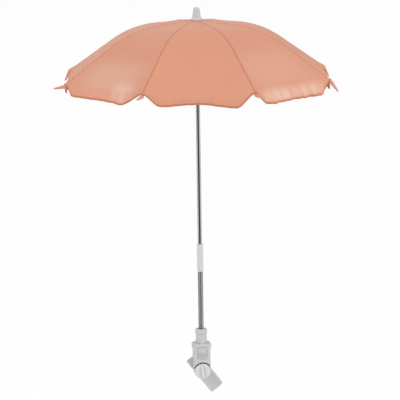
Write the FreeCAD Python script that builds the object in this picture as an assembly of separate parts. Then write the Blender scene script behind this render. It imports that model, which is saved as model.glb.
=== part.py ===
"""Pram parasol: a folding eight-rib canopy on a pole, a gooseneck and a clamp for a pram's tube.

Millimetres. +Z is up along the pole and the front of the clamp faces -Y. The origin lies on the axis
of the gripped tube, straight behind the pivot that the clamp tilts on.
"""
import FreeCAD
import Part
import math
import os

from FreeCAD import Vector

# Clearances
RUN_GAP = 0.3
PIN_GAP = 0.12
SEAT_GAP = 0.05
OVERRUN = 2.0

# Pole
POLE_DIAMETER = 9.5
POLE_WALL = 0.8
POLE_BARE = 524.5
POLE_TOP_REACH = 22.0
POLE_FOOT_DEPTH = 34.0

# Canopy cloth, given on its upper side above a rib
RIB_COUNT = 8
CANOPY_TURN_DEG = -8.0
CANOPY_RADIUS = 321.0
BOW_CORNER_RADIUS = 160.0
CROWN_SLOPE_DEG = 5.6
EAVE_SLOPE_DEG = 34.4
BOW_BEND_RADIUS = 250.0
CLOTH_THICKNESS = 1.0
CLOTH_GAP = 0.6
CLOTH_CROWN_RADIUS = 13.2
CLOTH_SPLIT = 0.3
VALANCE_DEPTH = 33.0
VALANCE_SLOPE_DEG = 78.0
VALANCE_BEND_RADIUS = 4.0
HEM_CORNER_RUN = 36.0

# Ribs, stretchers and the hinges between them
RIB_DIAMETER = 2.8
RIB_REACH = 5.0
HINGE_RADIUS = 12.0
HINGE_WIRE_DIAMETER = 1.2
EYE_RADIUS = 1.5
BLADE_THICKNESS = 2.0
BLADE_LENGTH = 7.0
BLADE_OVERLAP = 1.5
LUG_SLOPE_DEG = 26.0
LUG_DROP = 5.0
LUG_RADIUS = 2.2
LUG_THICKNESS = 2.0
LUG_PIN_DIAMETER = 1.4
FORK_CHEEK = 1.0
FORK_SLOT_DEPTH = 3.4
FORK_LENGTH = 8.5

# Rib tips
TIP_LENGTH = 26.0
TIP_BASE_DIAMETER = 8.4
TIP_NOSE_DIAMETER = 3.6
TIP_BASE_REACH = 3.2
TIP_BALL_DIAMETER = 4.4
TIP_MOUTH_DEG = 34.0
TIP_DROOP_DEG = (60.0, 40.0, 38.0, 60.0, 7.0, 6.0, 6.0, 52.0)

# Hubs that the ribs and the stretchers hinge on
HUB_FLANGE_RADIUS = 15.5
HUB_CORE_RADIUS = 9.6
NOTCH_TOP = 1.45
NOTCH_FLANGE_DROP = 3.2
NOTCH_CORE_DROP = 10.0
RUNNER_FLANGE_HALF = 3.0
RUNNER_CORE_RISE = 5.0
RUNNER_SLEEVE_RADIUS = 7.4
RUNNER_SLEEVE_LENGTH = 34.0
RUNNER_GRIP_RADIUS = 10.5
RUNNER_GRIP_HEIGHT = 5.0
RUNNER_BEAD_COUNT = 3
RUNNER_BEAD_RADIUS = 8.6
RUNNER_BEAD_HEIGHT = 2.4
RUNNER_BEAD_PITCH = 5.0

# Catch below the runner
CATCH_LENGTH = 24.0
CATCH_REACH = 3.2
CATCH_WIDTH = 2.0
CATCH_STRIP = 0.9
CATCH_NOSE = 1.4
CATCH_FOOT = 6.0
CATCH_SLOT_GAP = 0.4

# Ferrule
FERRULE_HEIGHT = 28.0
FERRULE_FLANGE_RADIUS = 14.2
FERRULE_FLANGE_HEIGHT = 2.0
FERRULE_NECK_RADIUS = 9.8
FERRULE_NECK_HEIGHT = 5.5
FERRULE_TOP_RADIUS = 7.0
FERRULE_DOME_HEIGHT = 3.0
FERRULE_DOME_RADIUS = 4.2

# Gooseneck
NECK_LENGTH = 139.0
NECK_LINKS = 3
NECK_TURNS_PER_LINK = 11
NECK_DIAMETER = 12.0
NECK_WIRE_DIAMETER = 2.0
NECK_END_DEPTH = 12.0
NECK_BREAK = 0.8
SLEEVE_LENGTH = 66.5
SLEEVE_DIAMETER = 14.5
SLEEVE_RIM = 1.2

# Plug of the gooseneck in its socket
PLUG_DIAMETER = 16.0
PLUG_GROOVE_DIAMETER = 12.0
PLUG_FOOT = 3.2
PLUG_LIP_GAP = 0.8

# Socket block, with heights above the tilt pivot
BLOCK_WIDTH = 39.5
BLOCK_DEPTH = 33.7
BLOCK_CORNER = 7.0
BLOCK_LOW = 5.0
SHOULDER_WIDTH = 44.0
SHOULDER_LOW = 52.0
SHOULDER_FLARE = 3.5
SHOULDER_CHAMFER = 2.0
BLOCK_TOP = 66.5
NECK_FOOT_RADIUS = 13.4
NECK_HEAD_RADIUS = 12.4
NECK_TOP = 90.5
SPIGOT_RADIUS = 10.5
SPIGOT_HEIGHT = 6.5
COLLAR_RADIUS = 14.2
COLLAR_HEIGHT = 10.0
COLLAR_CHAMFER = 1.2
EAR_RADIUS = 19.0
EAR_THICKNESS = 25.5
SOCKET_FLOOR = 39.0

# Release button, its latch ring and its spring
WINDOW_WIDTH = 22.0
WINDOW_LOW = 31.0
WINDOW_HIGH = 58.0
WINDOW_DEPTH = 7.5
BUTTON_PROUD = 1.0
BUTTON_THICKNESS = 4.6
BUTTON_TRAVEL = 3.0
BUTTON_RIBS = 3
BUTTON_RIB_HEIGHT = 0.9
BUTTON_RIB_WIDTH = 1.6
LATCH_THICKNESS = 3.0
LATCH_WIDTH = 21.0
LATCH_RAIL = 1.9
LATCH_BACK = 3.0
LATCH_BITE = 1.5
LATCH_GROOVE_PLAY = 0.6
SPRING_DIAMETER = 5.0
SPRING_WIRE = 0.7
SPRING_TURNS = 5
SPRING_POCKET_DEPTH = 5.0
SPRING_HEIGHT = 35.0

# Knob and screw
KNOB_RADIUS = 18.8
KNOB_THICKNESS = 9.0
KNOB_CHAMFER = 2.0
KNOB_FLUTES = 14
KNOB_FLUTE_RADIUS = 2.0
KNOB_BAR_WIDTH = 8.5
KNOB_BAR_HEIGHT = 4.5
KNOB_BAR_TAPER = 1.4
KNOB_BAR_END_TAPER = 2.8
KNOB_BAR_CORNER = 2.8
KNOB_BAR_LENGTH = 31.0
KNOB_BAR_TURN_DEG = 6.0
ARCH_RADIUS = 22.0
SCREW_DIAMETER = 6.0
SCREW_HEAD_RADIUS = 6.0
SCREW_HEAD_HEIGHT = 4.0
SCREW_SKIN = 2.5

# Clamp hook round the tube
TUBE_RADIUS = 12.5
HOOK_SLANT_DEG = 53.0
HOOK_UPPER_REACH = 32.0
HOOK_ARC_REACH = 16.0
HOOK_LOWER_REACH = 67.0
HOOK_WIDTH = 35.0
HOOK_WALL = 3.5
HOOK_TIP_DEG = 122.0
HOOK_LIP_DEG = 32.0
HOOK_EDGE = 3.0
HOOK_CORNER = 4.0
PLATE_BACK = 19.0
PLATE_THICKNESS = 6.0
BOSS_RADIUS = 17.0
BOSS_HEIGHT = 4.0
BOSS_SKIN = 1.3
LINER_THICKNESS = 1.5
WASHER_THICKNESS = 1.2
WASHER_RADIUS = 16.0

# Pressure pad with its nut
PAD_WIDTH = 18.0
PAD_LENGTH = 26.0
PAD_BACK = 4.2
PAD_WING = 3.0
PAD_NUT_RADIUS = 6.5
PAD_NUT_LENGTH = 8.6
PAD_OPEN_TRAVEL = 2.0
PAD_CLOSE_TRAVEL = 7.0
SCREW_END_GAP = 0.7

# Places that follow from the sizes above, along the pole from the tilt pivot
COLLAR_TOP = NECK_TOP + COLLAR_HEIGHT
SLEEVE_LOW = COLLAR_TOP + NECK_LENGTH
SLEEVE_TOP = SLEEVE_LOW + SLEEVE_LENGTH
CROWN_LEVEL = SLEEVE_TOP + POLE_BARE
POLE_RADIUS = POLE_DIAMETER / 2
LATCH_LEVEL = (WINDOW_LOW + WINDOW_HIGH) / 2

# Places along Y, from the tube's axis forward
PLATE_FRONT = -PLATE_BACK - PLATE_THICKNESS
BOSS_FRONT = PLATE_FRONT - BOSS_HEIGHT
WASHER_FRONT = BOSS_FRONT - WASHER_THICKNESS
EAR_BACK = WASHER_FRONT - PIN_GAP
EAR_FRONT = EAR_BACK - EAR_THICKNESS
BLOCK_FRONT = EAR_BACK - BLOCK_DEPTH
POLE_Y = EAR_BACK - BLOCK_DEPTH / 2
KNOB_BACK = EAR_FRONT - RUN_GAP
KNOB_FRONT = KNOB_BACK - KNOB_THICKNESS
WINDOW_FLOOR = BLOCK_FRONT + WINDOW_DEPTH

# Canopy geometry in the plane of a rib, with heights from the hinge ring
HALF_GORE_DEG = 180.0 / RIB_COUNT
GORE_SHARE = math.cos(math.radians(HALF_GORE_DEG))
RIB_OFFSET = CLOTH_THICKNESS + CLOTH_GAP + RIB_DIAMETER / 2
CROWN_SLOPE = math.radians(CROWN_SLOPE_DEG)
EAVE_SLOPE = math.radians(EAVE_SLOPE_DEG)
CLOTH_TOP = RIB_OFFSET / math.cos(CROWN_SLOPE) + HINGE_RADIUS * math.tan(CROWN_SLOPE)
BOW_CORNER_DROP = BOW_CORNER_RADIUS * math.tan(CROWN_SLOPE)
RIM_DROP = BOW_CORNER_DROP + (CANOPY_RADIUS - BOW_CORNER_RADIUS) * math.tan(EAVE_SLOPE)
RIM_LEVEL = CLOTH_TOP - RIM_DROP
NECK_PITCH = NECK_LENGTH / NECK_LINKS / NECK_TURNS_PER_LINK


def rib_azimuth(index):
    """Angle of a rib round the pole, in degrees from +X."""
    return HALF_GORE_DEG + CANOPY_TURN_DEG + 2 * HALF_GORE_DEG * index


def unit(vector):
    """A copy of the vector at length 1."""
    copy = Vector(vector)
    copy.normalize()
    return copy


def upward(along):
    """Normal of a line in the XZ plane, on its upper side when the line runs outward."""
    return Vector(-along.z, 0, along.x)


def offset_path(points, distance):
    """Corner points of a path in the XZ plane, moved by a distance to its upper side."""
    sides = []
    for start, end in zip(points, points[1:]):
        sides.append(upward(unit(end - start)))
    moved = [points[0] + sides[0] * distance]
    for point, before, after in zip(points[1:], sides, sides[1:]):
        bisector = (before + after) / (1 + before.dot(after))
        moved.append(point + bisector * distance)
    moved.append(points[-1] + sides[-1] * distance)
    return moved


def bend(before, corner, after, radius):
    """Start, middle, end and centre of the arc that rounds a downward corner."""
    along = unit(corner - before)
    onward = unit(after - corner)
    half_turn = along.getAngle(onward) / 2
    reach = radius * math.tan(half_turn)
    start = corner - along * reach
    end = corner + onward * reach
    centre = start - upward(along) * radius
    middle = centre + unit(upward(along) + upward(onward)) * radius
    return start, middle, end, centre


def path_edges(points, radii):
    """Edges of a path whose inner corners are rounded."""
    edges = []
    last = points[0]
    for before, corner, after, radius in zip(points, points[1:], points[2:], radii):
        start, middle, end, _ = bend(before, corner, after, radius)
        edges.append(Part.makeLine(last, start))
        edges.append(Part.Arc(start, middle, end).toShape())
        last = end
    edges.append(Part.makeLine(last, points[-1]))
    return edges


def outline_face(points):
    """Flat face inside a closed outline."""
    return Part.Face(Part.makePolygon(points + [points[0]]))


def turned(points):
    """Solid of revolution about Z from (radius, height) points."""
    face = outline_face([Vector(radius, 0, height) for radius, height in points])
    return face.revolve(Vector(0, 0, 0), Vector(0, 0, 1), 360)


def rounded_rectangle(width, depth, corner, height):
    """Closed wire of a rectangle with round corners, centred on the Z axis."""
    x = width / 2
    y = depth / 2
    edges = []
    for turn in range(4):
        side_x, side_y = (x, y) if turn % 2 == 0 else (y, x)
        start = Vector(side_x, corner - side_y, 0)
        end = Vector(side_x, side_y - corner, 0)
        centre = Vector(side_x - corner, side_y - corner, 0)
        middle = centre + Vector(corner, corner, 0) * math.sqrt(0.5)
        past = Vector(side_x - corner, side_y, 0)
        for edge in (Part.makeLine(start, end), Part.Arc(end, middle, past).toShape()):
            edge.rotate(Vector(0, 0, 0), Vector(0, 0, 1), 90 * turn)
            edges.append(edge)
    wire = Part.Wire(edges)
    wire.translate(Vector(0, 0, height))
    return wire


def box(x_range, y_range, z_range):
    """Upright box between pairs of coordinates."""
    low = Vector(x_range[0], y_range[0], z_range[0])
    size = [pair[1] - pair[0] for pair in (x_range, y_range, z_range)]
    return Part.makeBox(size[0], size[1], size[2], low)


def rod_y(radius, start, end, x=0, z=0):
    """Cylinder along Y between two places."""
    return Part.makeCylinder(radius, end - start, Vector(x, start, z), Vector(0, 1, 0))


def on_pole(shape, height):
    """Put a piece that was made about the Z axis on the pole's axis, at a height over the pivot."""
    shape.translate(Vector(0, POLE_Y, height))
    return shape


def round_pole(shape, index):
    """Put a piece that was made in the XZ plane at the place of one rib."""
    shape.rotate(Vector(0, 0, 0), Vector(0, 0, 1), rib_azimuth(index))
    return on_pole(shape, CROWN_LEVEL)


# Frame of the canopy

def rib_path():
    """Corner points of a rib's centre line, from its hinge to its ball."""
    cloth = [
        Vector(0, 0, CLOTH_TOP),
        Vector(BOW_CORNER_RADIUS, 0, CLOTH_TOP - BOW_CORNER_DROP),
        Vector(CANOPY_RADIUS, 0, RIM_LEVEL),
    ]
    _, corner, rim = offset_path(cloth, -RIB_OFFSET)
    past = CANOPY_RADIUS + RIB_REACH - rim.x
    ball = rim + Vector(past, 0, -past * math.tan(EAVE_SLOPE))
    return [Vector(HINGE_RADIUS, 0, 0), corner, ball]


def lug_point():
    """Pivot of a stretcher under its rib."""
    radius = BOW_BEND_RADIUS - RIB_OFFSET
    _, _, _, centre = bend(*rib_path(), radius)
    slope = math.radians(LUG_SLOPE_DEG)
    return centre + Vector(math.sin(slope), 0, math.cos(slope)) * (radius - LUG_DROP)


def runner_point():
    """Hinge of a stretcher on the runner: hinge, lug and runner make a triangle with two equal sides."""
    return Vector(HINGE_RADIUS, 0, 2 * lug_point().z)


def swept_rod(edges, diameter):
    """Round rod along a chain of edges."""
    wire = Part.Wire(edges)
    start = edges[0].valueAt(edges[0].FirstParameter)
    along = edges[0].tangentAt(edges[0].FirstParameter)
    section = Part.Wire(Part.makeCircle(diameter / 2, start, along))
    return wire.makePipeShell([section], True, False)


def hinge_blade(start, along):
    """Flat end of a rib or stretcher with the eye that turns on a hinge wire."""
    up = upward(along)
    half = EYE_RADIUS
    corners = [start + up * half, start - up * half]
    corners += [point + along * BLADE_LENGTH for point in reversed(corners)]
    blade = outline_face(corners).extrude(Vector(0, BLADE_THICKNESS, 0))
    eye = Part.makeCylinder(EYE_RADIUS, BLADE_THICKNESS, start, Vector(0, 1, 0))
    blade = blade.fuse(eye)
    blade.translate(Vector(0, -BLADE_THICKNESS / 2, 0))
    return blade


def hinge_hole(start):
    """Cutter for the eye's hole."""
    radius = HINGE_WIRE_DIAMETER / 2 + PIN_GAP
    length = BLADE_THICKNESS + 2 * OVERRUN
    return Part.makeCylinder(radius, length, start - Vector(0, length / 2, 0), Vector(0, 1, 0))


def rib():
    """Bowed rib with its hinge eye, the lug for its stretcher and the ball that its tip turns on."""
    hinge, corner, ball = rib_path()
    along = unit(corner - hinge)
    wire_start = hinge + along * (BLADE_LENGTH - BLADE_OVERLAP)
    edges = path_edges([wire_start, corner, ball], [BOW_BEND_RADIUS - RIB_OFFSET])
    shape = swept_rod(edges, RIB_DIAMETER).fuse(hinge_blade(hinge, along))
    shape = shape.fuse(Part.makeSphere(TIP_BALL_DIAMETER / 2, ball))
    pivot = lug_point()
    slope = math.radians(LUG_SLOPE_DEG)
    up = Vector(math.sin(slope), 0, math.cos(slope))
    side = upward(up)
    corners = [pivot + side * LUG_RADIUS, pivot - side * LUG_RADIUS]
    corners += [point + up * LUG_DROP for point in reversed(corners)]
    lug = outline_face(corners).extrude(Vector(0, LUG_THICKNESS, 0))
    lug = lug.fuse(Part.makeCylinder(LUG_RADIUS, LUG_THICKNESS, pivot, Vector(0, 1, 0)))
    lug.translate(Vector(0, -LUG_THICKNESS / 2, 0))
    length = LUG_THICKNESS + 2 * OVERRUN
    hole_start = pivot - Vector(0, length / 2, 0)
    hole = Part.makeCylinder(LUG_PIN_DIAMETER / 2 + PIN_GAP, length, hole_start, Vector(0, 1, 0))
    return shape.fuse(lug).cut(hole).cut(hinge_hole(hinge)).removeSplitter()


def stretcher():
    """Stay from the runner to a rib's lug, with an eye, a fork and the fork's pin."""
    foot = runner_point()
    pivot = lug_point()
    along = unit(pivot - foot)
    up = upward(along)
    wire_start = foot + along * (BLADE_LENGTH - BLADE_OVERLAP)
    wire_end = pivot - along * FORK_SLOT_DEPTH
    length = (wire_end - wire_start).Length
    shape = Part.makeCylinder(RIB_DIAMETER / 2, length, wire_start, along)
    shape = shape.fuse(hinge_blade(foot, along)).cut(hinge_hole(foot))
    fork_width = LUG_THICKNESS + 2 * (RUN_GAP + FORK_CHEEK)
    corners = [pivot + up * LUG_RADIUS, pivot - up * LUG_RADIUS]
    corners += [point - along * FORK_LENGTH for point in reversed(corners)]
    fork = outline_face(corners).extrude(Vector(0, fork_width, 0))
    fork = fork.fuse(Part.makeCylinder(LUG_RADIUS, fork_width, pivot, Vector(0, 1, 0)))
    fork.translate(Vector(0, -fork_width / 2, 0))
    slot_width = LUG_THICKNESS + 2 * RUN_GAP
    reach = LUG_RADIUS + OVERRUN
    slot_corners = [pivot - along * FORK_SLOT_DEPTH + up * reach, pivot - along * FORK_SLOT_DEPTH - up * reach]
    slot_corners += [point + along * (FORK_SLOT_DEPTH + reach) for point in reversed(slot_corners)]
    slot = outline_face(slot_corners).extrude(Vector(0, slot_width, 0))
    slot.translate(Vector(0, -slot_width / 2, 0))
    pin_start = pivot - Vector(0, fork_width / 2, 0)
    pin = Part.makeCylinder(LUG_PIN_DIAMETER / 2, fork_width, pin_start, Vector(0, 1, 0))
    return shape.fuse(fork).cut(slot).fuse(pin).removeSplitter()


def rib_tip(droop_deg):
    """Tapered cap whose socket sits on a rib's ball and hangs at its own angle."""
    base = TIP_BASE_DIAMETER / 2
    nose = TIP_NOSE_DIAMETER / 2
    cap = turned([
        (0, -TIP_BASE_REACH),
        (base, -TIP_BASE_REACH),
        (base, TIP_BASE_REACH),
        (nose, TIP_LENGTH - nose),
        (0, TIP_LENGTH - nose),
    ])
    cap = cap.fuse(Part.makeSphere(nose, Vector(0, 0, TIP_LENGTH - nose)))
    cap = cap.cut(Part.makeSphere(TIP_BALL_DIAMETER / 2 + PIN_GAP))
    throat = RIB_DIAMETER / 2 + RUN_GAP
    mouth = TIP_BASE_REACH * math.tan(math.radians(TIP_MOUTH_DEG)) + RIB_DIAMETER / 2
    cap = cap.cut(Part.makeCone(mouth, throat, TIP_BASE_REACH, Vector(0, 0, -TIP_BASE_REACH)))
    cap.rotate(Vector(0, 0, 0), Vector(0, 1, 0), 90 + droop_deg)
    cap.translate(rib_path()[-1])
    return cap


def slotted_hub(shape, top, bottom):
    """Cut the slots for the blades and the groove for the hinge wire into a hub."""
    width = BLADE_THICKNESS + 2 * RUN_GAP
    inner = HINGE_RADIUS - EYE_RADIUS - RUN_GAP
    outer = HUB_FLANGE_RADIUS + OVERRUN
    for index in range(RIB_COUNT):
        slot = box((inner, outer), (-width / 2, width / 2), (bottom - OVERRUN, top + OVERRUN))
        slot.rotate(Vector(0, 0, 0), Vector(0, 0, 1), rib_azimuth(index))
        shape = shape.cut(slot)
    half = HINGE_WIRE_DIAMETER / 2 + SEAT_GAP
    floor = HINGE_RADIUS - half
    groove = turned([(floor, -half), (outer, -half), (outer, half), (floor, half)])
    return shape.cut(groove)


def hinge_wire():
    """Wire ring through the eyes of all blades."""
    return Part.makeTorus(HINGE_RADIUS, HINGE_WIRE_DIAMETER / 2)


def top_notch():
    """Fixed hub at the top of the pole."""
    bore = POLE_RADIUS + SEAT_GAP
    shape = turned([
        (bore, NOTCH_TOP),
        (HUB_FLANGE_RADIUS, NOTCH_TOP),
        (HUB_FLANGE_RADIUS, -NOTCH_FLANGE_DROP),
        (HUB_CORE_RADIUS, -NOTCH_FLANGE_DROP),
        (HUB_CORE_RADIUS - OVERRUN, -NOTCH_CORE_DROP),
        (bore, -NOTCH_CORE_DROP),
    ])
    return slotted_hub(shape, NOTCH_TOP, -NOTCH_FLANGE_DROP)


def runner():
    """Sliding hub with its sleeve, beads for the fingers and a grip rim at its lower end."""
    bore = POLE_RADIUS + RUN_GAP
    hub = turned([
        (bore, RUNNER_CORE_RISE),
        (HUB_CORE_RADIUS - OVERRUN, RUNNER_CORE_RISE),
        (HUB_CORE_RADIUS, RUNNER_FLANGE_HALF),
        (HUB_FLANGE_RADIUS, RUNNER_FLANGE_HALF),
        (HUB_FLANGE_RADIUS, -RUNNER_FLANGE_HALF),
        (RUNNER_SLEEVE_RADIUS, -RUNNER_FLANGE_HALF - RUNNER_CORE_RISE),
        (RUNNER_SLEEVE_RADIUS, RUNNER_GRIP_HEIGHT - RUNNER_SLEEVE_LENGTH),
        (RUNNER_GRIP_RADIUS, RUNNER_GRIP_HEIGHT / 2 - RUNNER_SLEEVE_LENGTH),
        (RUNNER_GRIP_RADIUS, -RUNNER_SLEEVE_LENGTH),
        (bore, -RUNNER_SLEEVE_LENGTH),
    ])
    bead_low = RUNNER_GRIP_HEIGHT - RUNNER_SLEEVE_LENGTH
    for index in range(RUNNER_BEAD_COUNT):
        middle = bead_low + RUNNER_BEAD_PITCH * (index + 1) - RUNNER_BEAD_HEIGHT / 2
        hub = hub.fuse(turned([
            (bore, middle - RUNNER_BEAD_HEIGHT / 2),
            (RUNNER_SLEEVE_RADIUS, middle - RUNNER_BEAD_HEIGHT / 2),
            (RUNNER_BEAD_RADIUS, middle),
            (RUNNER_SLEEVE_RADIUS, middle + RUNNER_BEAD_HEIGHT / 2),
            (bore, middle + RUNNER_BEAD_HEIGHT / 2),
        ]))
    return slotted_hub(hub.removeSplitter(), RUNNER_CORE_RISE, -RUNNER_FLANGE_HALF - RUNNER_CORE_RISE)


def catch_top():
    """Height of the catch's shoulder below the hinge ring of the crown."""
    return runner_point().z - RUNNER_SLEEVE_LENGTH - RUN_GAP


def pole_tube():
    """Tube from the sleeve to the ferrule, with a slot that the catch comes out of."""
    low = SLEEVE_TOP - POLE_FOOT_DEPTH - CROWN_LEVEL
    inner = POLE_RADIUS - POLE_WALL
    tube = turned([(inner, low), (POLE_RADIUS, low), (POLE_RADIUS, POLE_TOP_REACH), (inner, POLE_TOP_REACH)])
    half = CATCH_WIDTH / 2 + RUN_GAP
    slot_low = catch_top() - CATCH_LENGTH - CATCH_SLOT_GAP
    slot = box((0, POLE_DIAMETER), (-half, half), (slot_low, catch_top() + CATCH_SLOT_GAP))
    return tube.cut(slot)


def catch_spring():
    """Bent strip in the pole whose shoulder holds the runner up."""
    top = catch_top()
    back = POLE_WALL - POLE_RADIUS + RUN_GAP
    nose = POLE_RADIUS + CATCH_REACH
    outer = [
        Vector(back, 0, top),
        Vector(nose, 0, top),
        Vector(nose, 0, top - CATCH_NOSE),
        Vector(back + CATCH_WIDTH, 0, top - CATCH_LENGTH),
        Vector(back, 0, top - CATCH_LENGTH),
    ]
    inner = [
        Vector(back + CATCH_STRIP, 0, top - CATCH_STRIP),
        Vector(nose - CATCH_STRIP - CATCH_NOSE, 0, top - CATCH_STRIP),
        Vector(back + CATCH_STRIP, 0, top - CATCH_LENGTH + CATCH_FOOT),
    ]
    strip = outline_face(outer).cut(outline_face(inner)).extrude(Vector(0, CATCH_WIDTH, 0))
    strip.translate(Vector(0, -CATCH_WIDTH / 2, 0))
    return strip


def ferrule():
    """Cap on the pole's top, with a flange that follows the slope of the cloth."""
    flange_low = CLOTH_TOP + SEAT_GAP
    edge_drop = FERRULE_FLANGE_RADIUS * math.tan(CROWN_SLOPE)
    bore = POLE_RADIUS + SEAT_GAP
    bore_top = POLE_TOP_REACH + SEAT_GAP
    shape = turned([
        (0, flange_low),
        (FERRULE_FLANGE_RADIUS, flange_low - edge_drop),
        (FERRULE_FLANGE_RADIUS, flange_low - edge_drop + FERRULE_FLANGE_HEIGHT),
        (FERRULE_NECK_RADIUS, flange_low + FERRULE_NECK_HEIGHT),
        (FERRULE_TOP_RADIUS, flange_low + FERRULE_HEIGHT - FERRULE_DOME_HEIGHT),
        (FERRULE_DOME_RADIUS, flange_low + FERRULE_HEIGHT),
        (0, flange_low + FERRULE_HEIGHT),
    ])
    return shape.cut(Part.makeCylinder(bore, bore_top))


# Cloth

def gore_path():
    """Corner points of the cloth's upper side in the middle of a gore, from the axis to the hem."""
    rim = Vector(CANOPY_RADIUS * GORE_SHARE, 0, RIM_LEVEL)
    fall = math.radians(VALANCE_SLOPE_DEG)
    hem = rim + Vector(math.cos(fall), 0, -math.sin(fall)) * VALANCE_DEPTH
    corner = Vector(BOW_CORNER_RADIUS * GORE_SHARE, 0, CLOTH_TOP - BOW_CORNER_DROP)
    return [Vector(0, 0, CLOTH_TOP), corner, rim, hem]


def gore_bend_radius():
    """Radius of the bow in the middle of a gore, which keeps the bend as long as above a rib."""
    before, corner, after, _ = gore_path()
    rib_reach = BOW_BEND_RADIUS * math.tan((EAVE_SLOPE - CROWN_SLOPE) / 2)
    half_turn = (corner - before).getAngle(after - corner) / 2
    return rib_reach * GORE_SHARE / math.tan(half_turn)


def half_gore():
    """Cloth from the middle of a gore, along the X axis, to its rib on the +Y side."""
    upper = gore_path()
    lower = offset_path(upper, -CLOTH_THICKNESS)
    radii = [gore_bend_radius(), VALANCE_BEND_RADIUS]
    upper_edges = path_edges(upper, radii)
    lower_edges = path_edges(lower, [radius - CLOTH_THICKNESS for radius in radii])
    ends = [Part.makeLine(lower[0], upper[0]), Part.makeLine(lower[-1], upper[-1])]
    section = Part.Face(Part.Wire(Part.__sortEdges__(upper_edges + lower_edges + ends)))
    cloth = section.extrude(Vector(0, CANOPY_RADIUS, 0))
    spread = math.tan(math.radians(HALF_GORE_DEG))
    middle = CLOTH_SPLIT / 2
    far = CANOPY_RADIUS + VALANCE_DEPTH
    sector = [Vector(middle / spread, middle, -far), Vector(far, middle, -far), Vector(far, far * spread, -far)]
    cloth = cloth.common(outline_face(sector).extrude(Vector(0, 0, 2 * far)))
    corner_y = CANOPY_RADIUS * math.sin(math.radians(HALF_GORE_DEG))
    hem_level = upper[-1].z - OVERRUN
    cut = [
        Vector(0, corner_y, RIM_LEVEL),
        Vector(0, corner_y - HEM_CORNER_RUN, upper[-1].z),
        Vector(0, corner_y - HEM_CORNER_RUN, hem_level),
        Vector(0, corner_y + HEM_CORNER_RUN, hem_level),
        Vector(0, corner_y + HEM_CORNER_RUN, RIM_LEVEL),
    ]
    cloth = cloth.cut(outline_face(cut).extrude(Vector(far, 0, 0)))
    return cloth.cut(Part.makeCylinder(CLOTH_CROWN_RADIUS, 2 * far, Vector(0, 0, -far)))


def canopy_cloth():
    """Cloth over one rib, from the middle of the gore on one side to that on the other."""
    side = half_gore()
    side.rotate(Vector(0, 0, 0), Vector(0, 0, 1), -HALF_GORE_DEG)
    other = side.mirror(Vector(0, 0, 0), Vector(0, 1, 0))
    return side.fuse(other).removeSplitter()


def canopy_crown():
    """Middle of the cloth, held down by the ferrule's flange."""
    inner = POLE_RADIUS + SEAT_GAP
    outer = CLOTH_CROWN_RADIUS - RUN_GAP
    slope = math.tan(CROWN_SLOPE)
    return turned([
        (inner, CLOTH_TOP - inner * slope),
        (outer, CLOTH_TOP - outer * slope),
        (outer, CLOTH_TOP - outer * slope - CLOTH_THICKNESS),
        (inner, CLOTH_TOP - inner * slope - CLOTH_THICKNESS),
    ])


# Gooseneck

def helix_frame(radius, pitch, angle, low):
    """Point and direction on a helix about Z that starts at angle zero and height low."""
    point = Vector(radius * math.cos(angle), radius * math.sin(angle), low + pitch * angle / (2 * math.pi))
    along = Vector(-radius * math.sin(angle), radius * math.cos(angle), pitch / (2 * math.pi))
    return point, unit(along)


def arc_from(start, along, end):
    """Arc that leaves start along a direction and ends at end."""
    chord = end - start
    reach = chord.Length / 2
    axis = unit(chord)
    bulge = unit(along - axis * along.dot(axis))
    middle = (start + end) / 2 + bulge * reach * math.tan(along.getAngle(axis) / 2)
    return Part.Arc(start, middle, end).toShape()


def biarc(start, along, end, onward):
    """Two arcs that join a pair of points with given directions."""
    chord = end - start
    both = along + onward
    square = 4 - both.dot(both)
    half = chord.dot(both)
    reach = (math.sqrt(half * half + square * chord.dot(chord)) - half) / square
    joint = (start + along * reach + end - onward * reach) / 2
    turn = unit(end - onward * reach - start - along * reach)
    return [arc_from(start, along, joint), arc_from(joint, turn, end)]


def coil(mean_radius, wire, pitch, first_angle, last_angle, low):
    """Wound wire between two angles of a helix, as one tube on biarcs of about a quarter turn."""
    steps = max(1, math.ceil((last_angle - first_angle) / (math.pi / 2)))
    edges = []
    for step in range(steps):
        here = first_angle + (last_angle - first_angle) * step / steps
        there = first_angle + (last_angle - first_angle) * (step + 1) / steps
        start, along = helix_frame(mean_radius, pitch, here, low)
        end, onward = helix_frame(mean_radius, pitch, there, low)
        edges += biarc(start, along, end, onward)
    start, along = helix_frame(mean_radius, pitch, first_angle, low)
    sweep = Part.BRepOffsetAPI.MakePipeShell(Part.Wire(edges))
    sweep.add(Part.Wire(Part.makeCircle(wire / 2, start, along)))
    sweep.build()
    sweep.makeSolid()
    return sweep.shape()


def coil_gap(mean_radius, wire, pitch):
    """Least gap between one turn and the next, measured on points of the helix."""
    samples = 180
    points = [helix_frame(mean_radius, pitch, 4 * math.pi * step / samples, 0)[0] for step in range(samples)]
    half_turn = samples // 4
    distances = []
    for index, point in enumerate(points):
        for other in points[index + half_turn:]:
            distances.append((other - point).Length)
    return min(distances) - wire


def neck_hinge_level(index):
    """Height of one bend of the gooseneck over the tilt pivot."""
    return COLLAR_TOP + NECK_LENGTH * (index + 0.5) / NECK_LINKS


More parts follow.
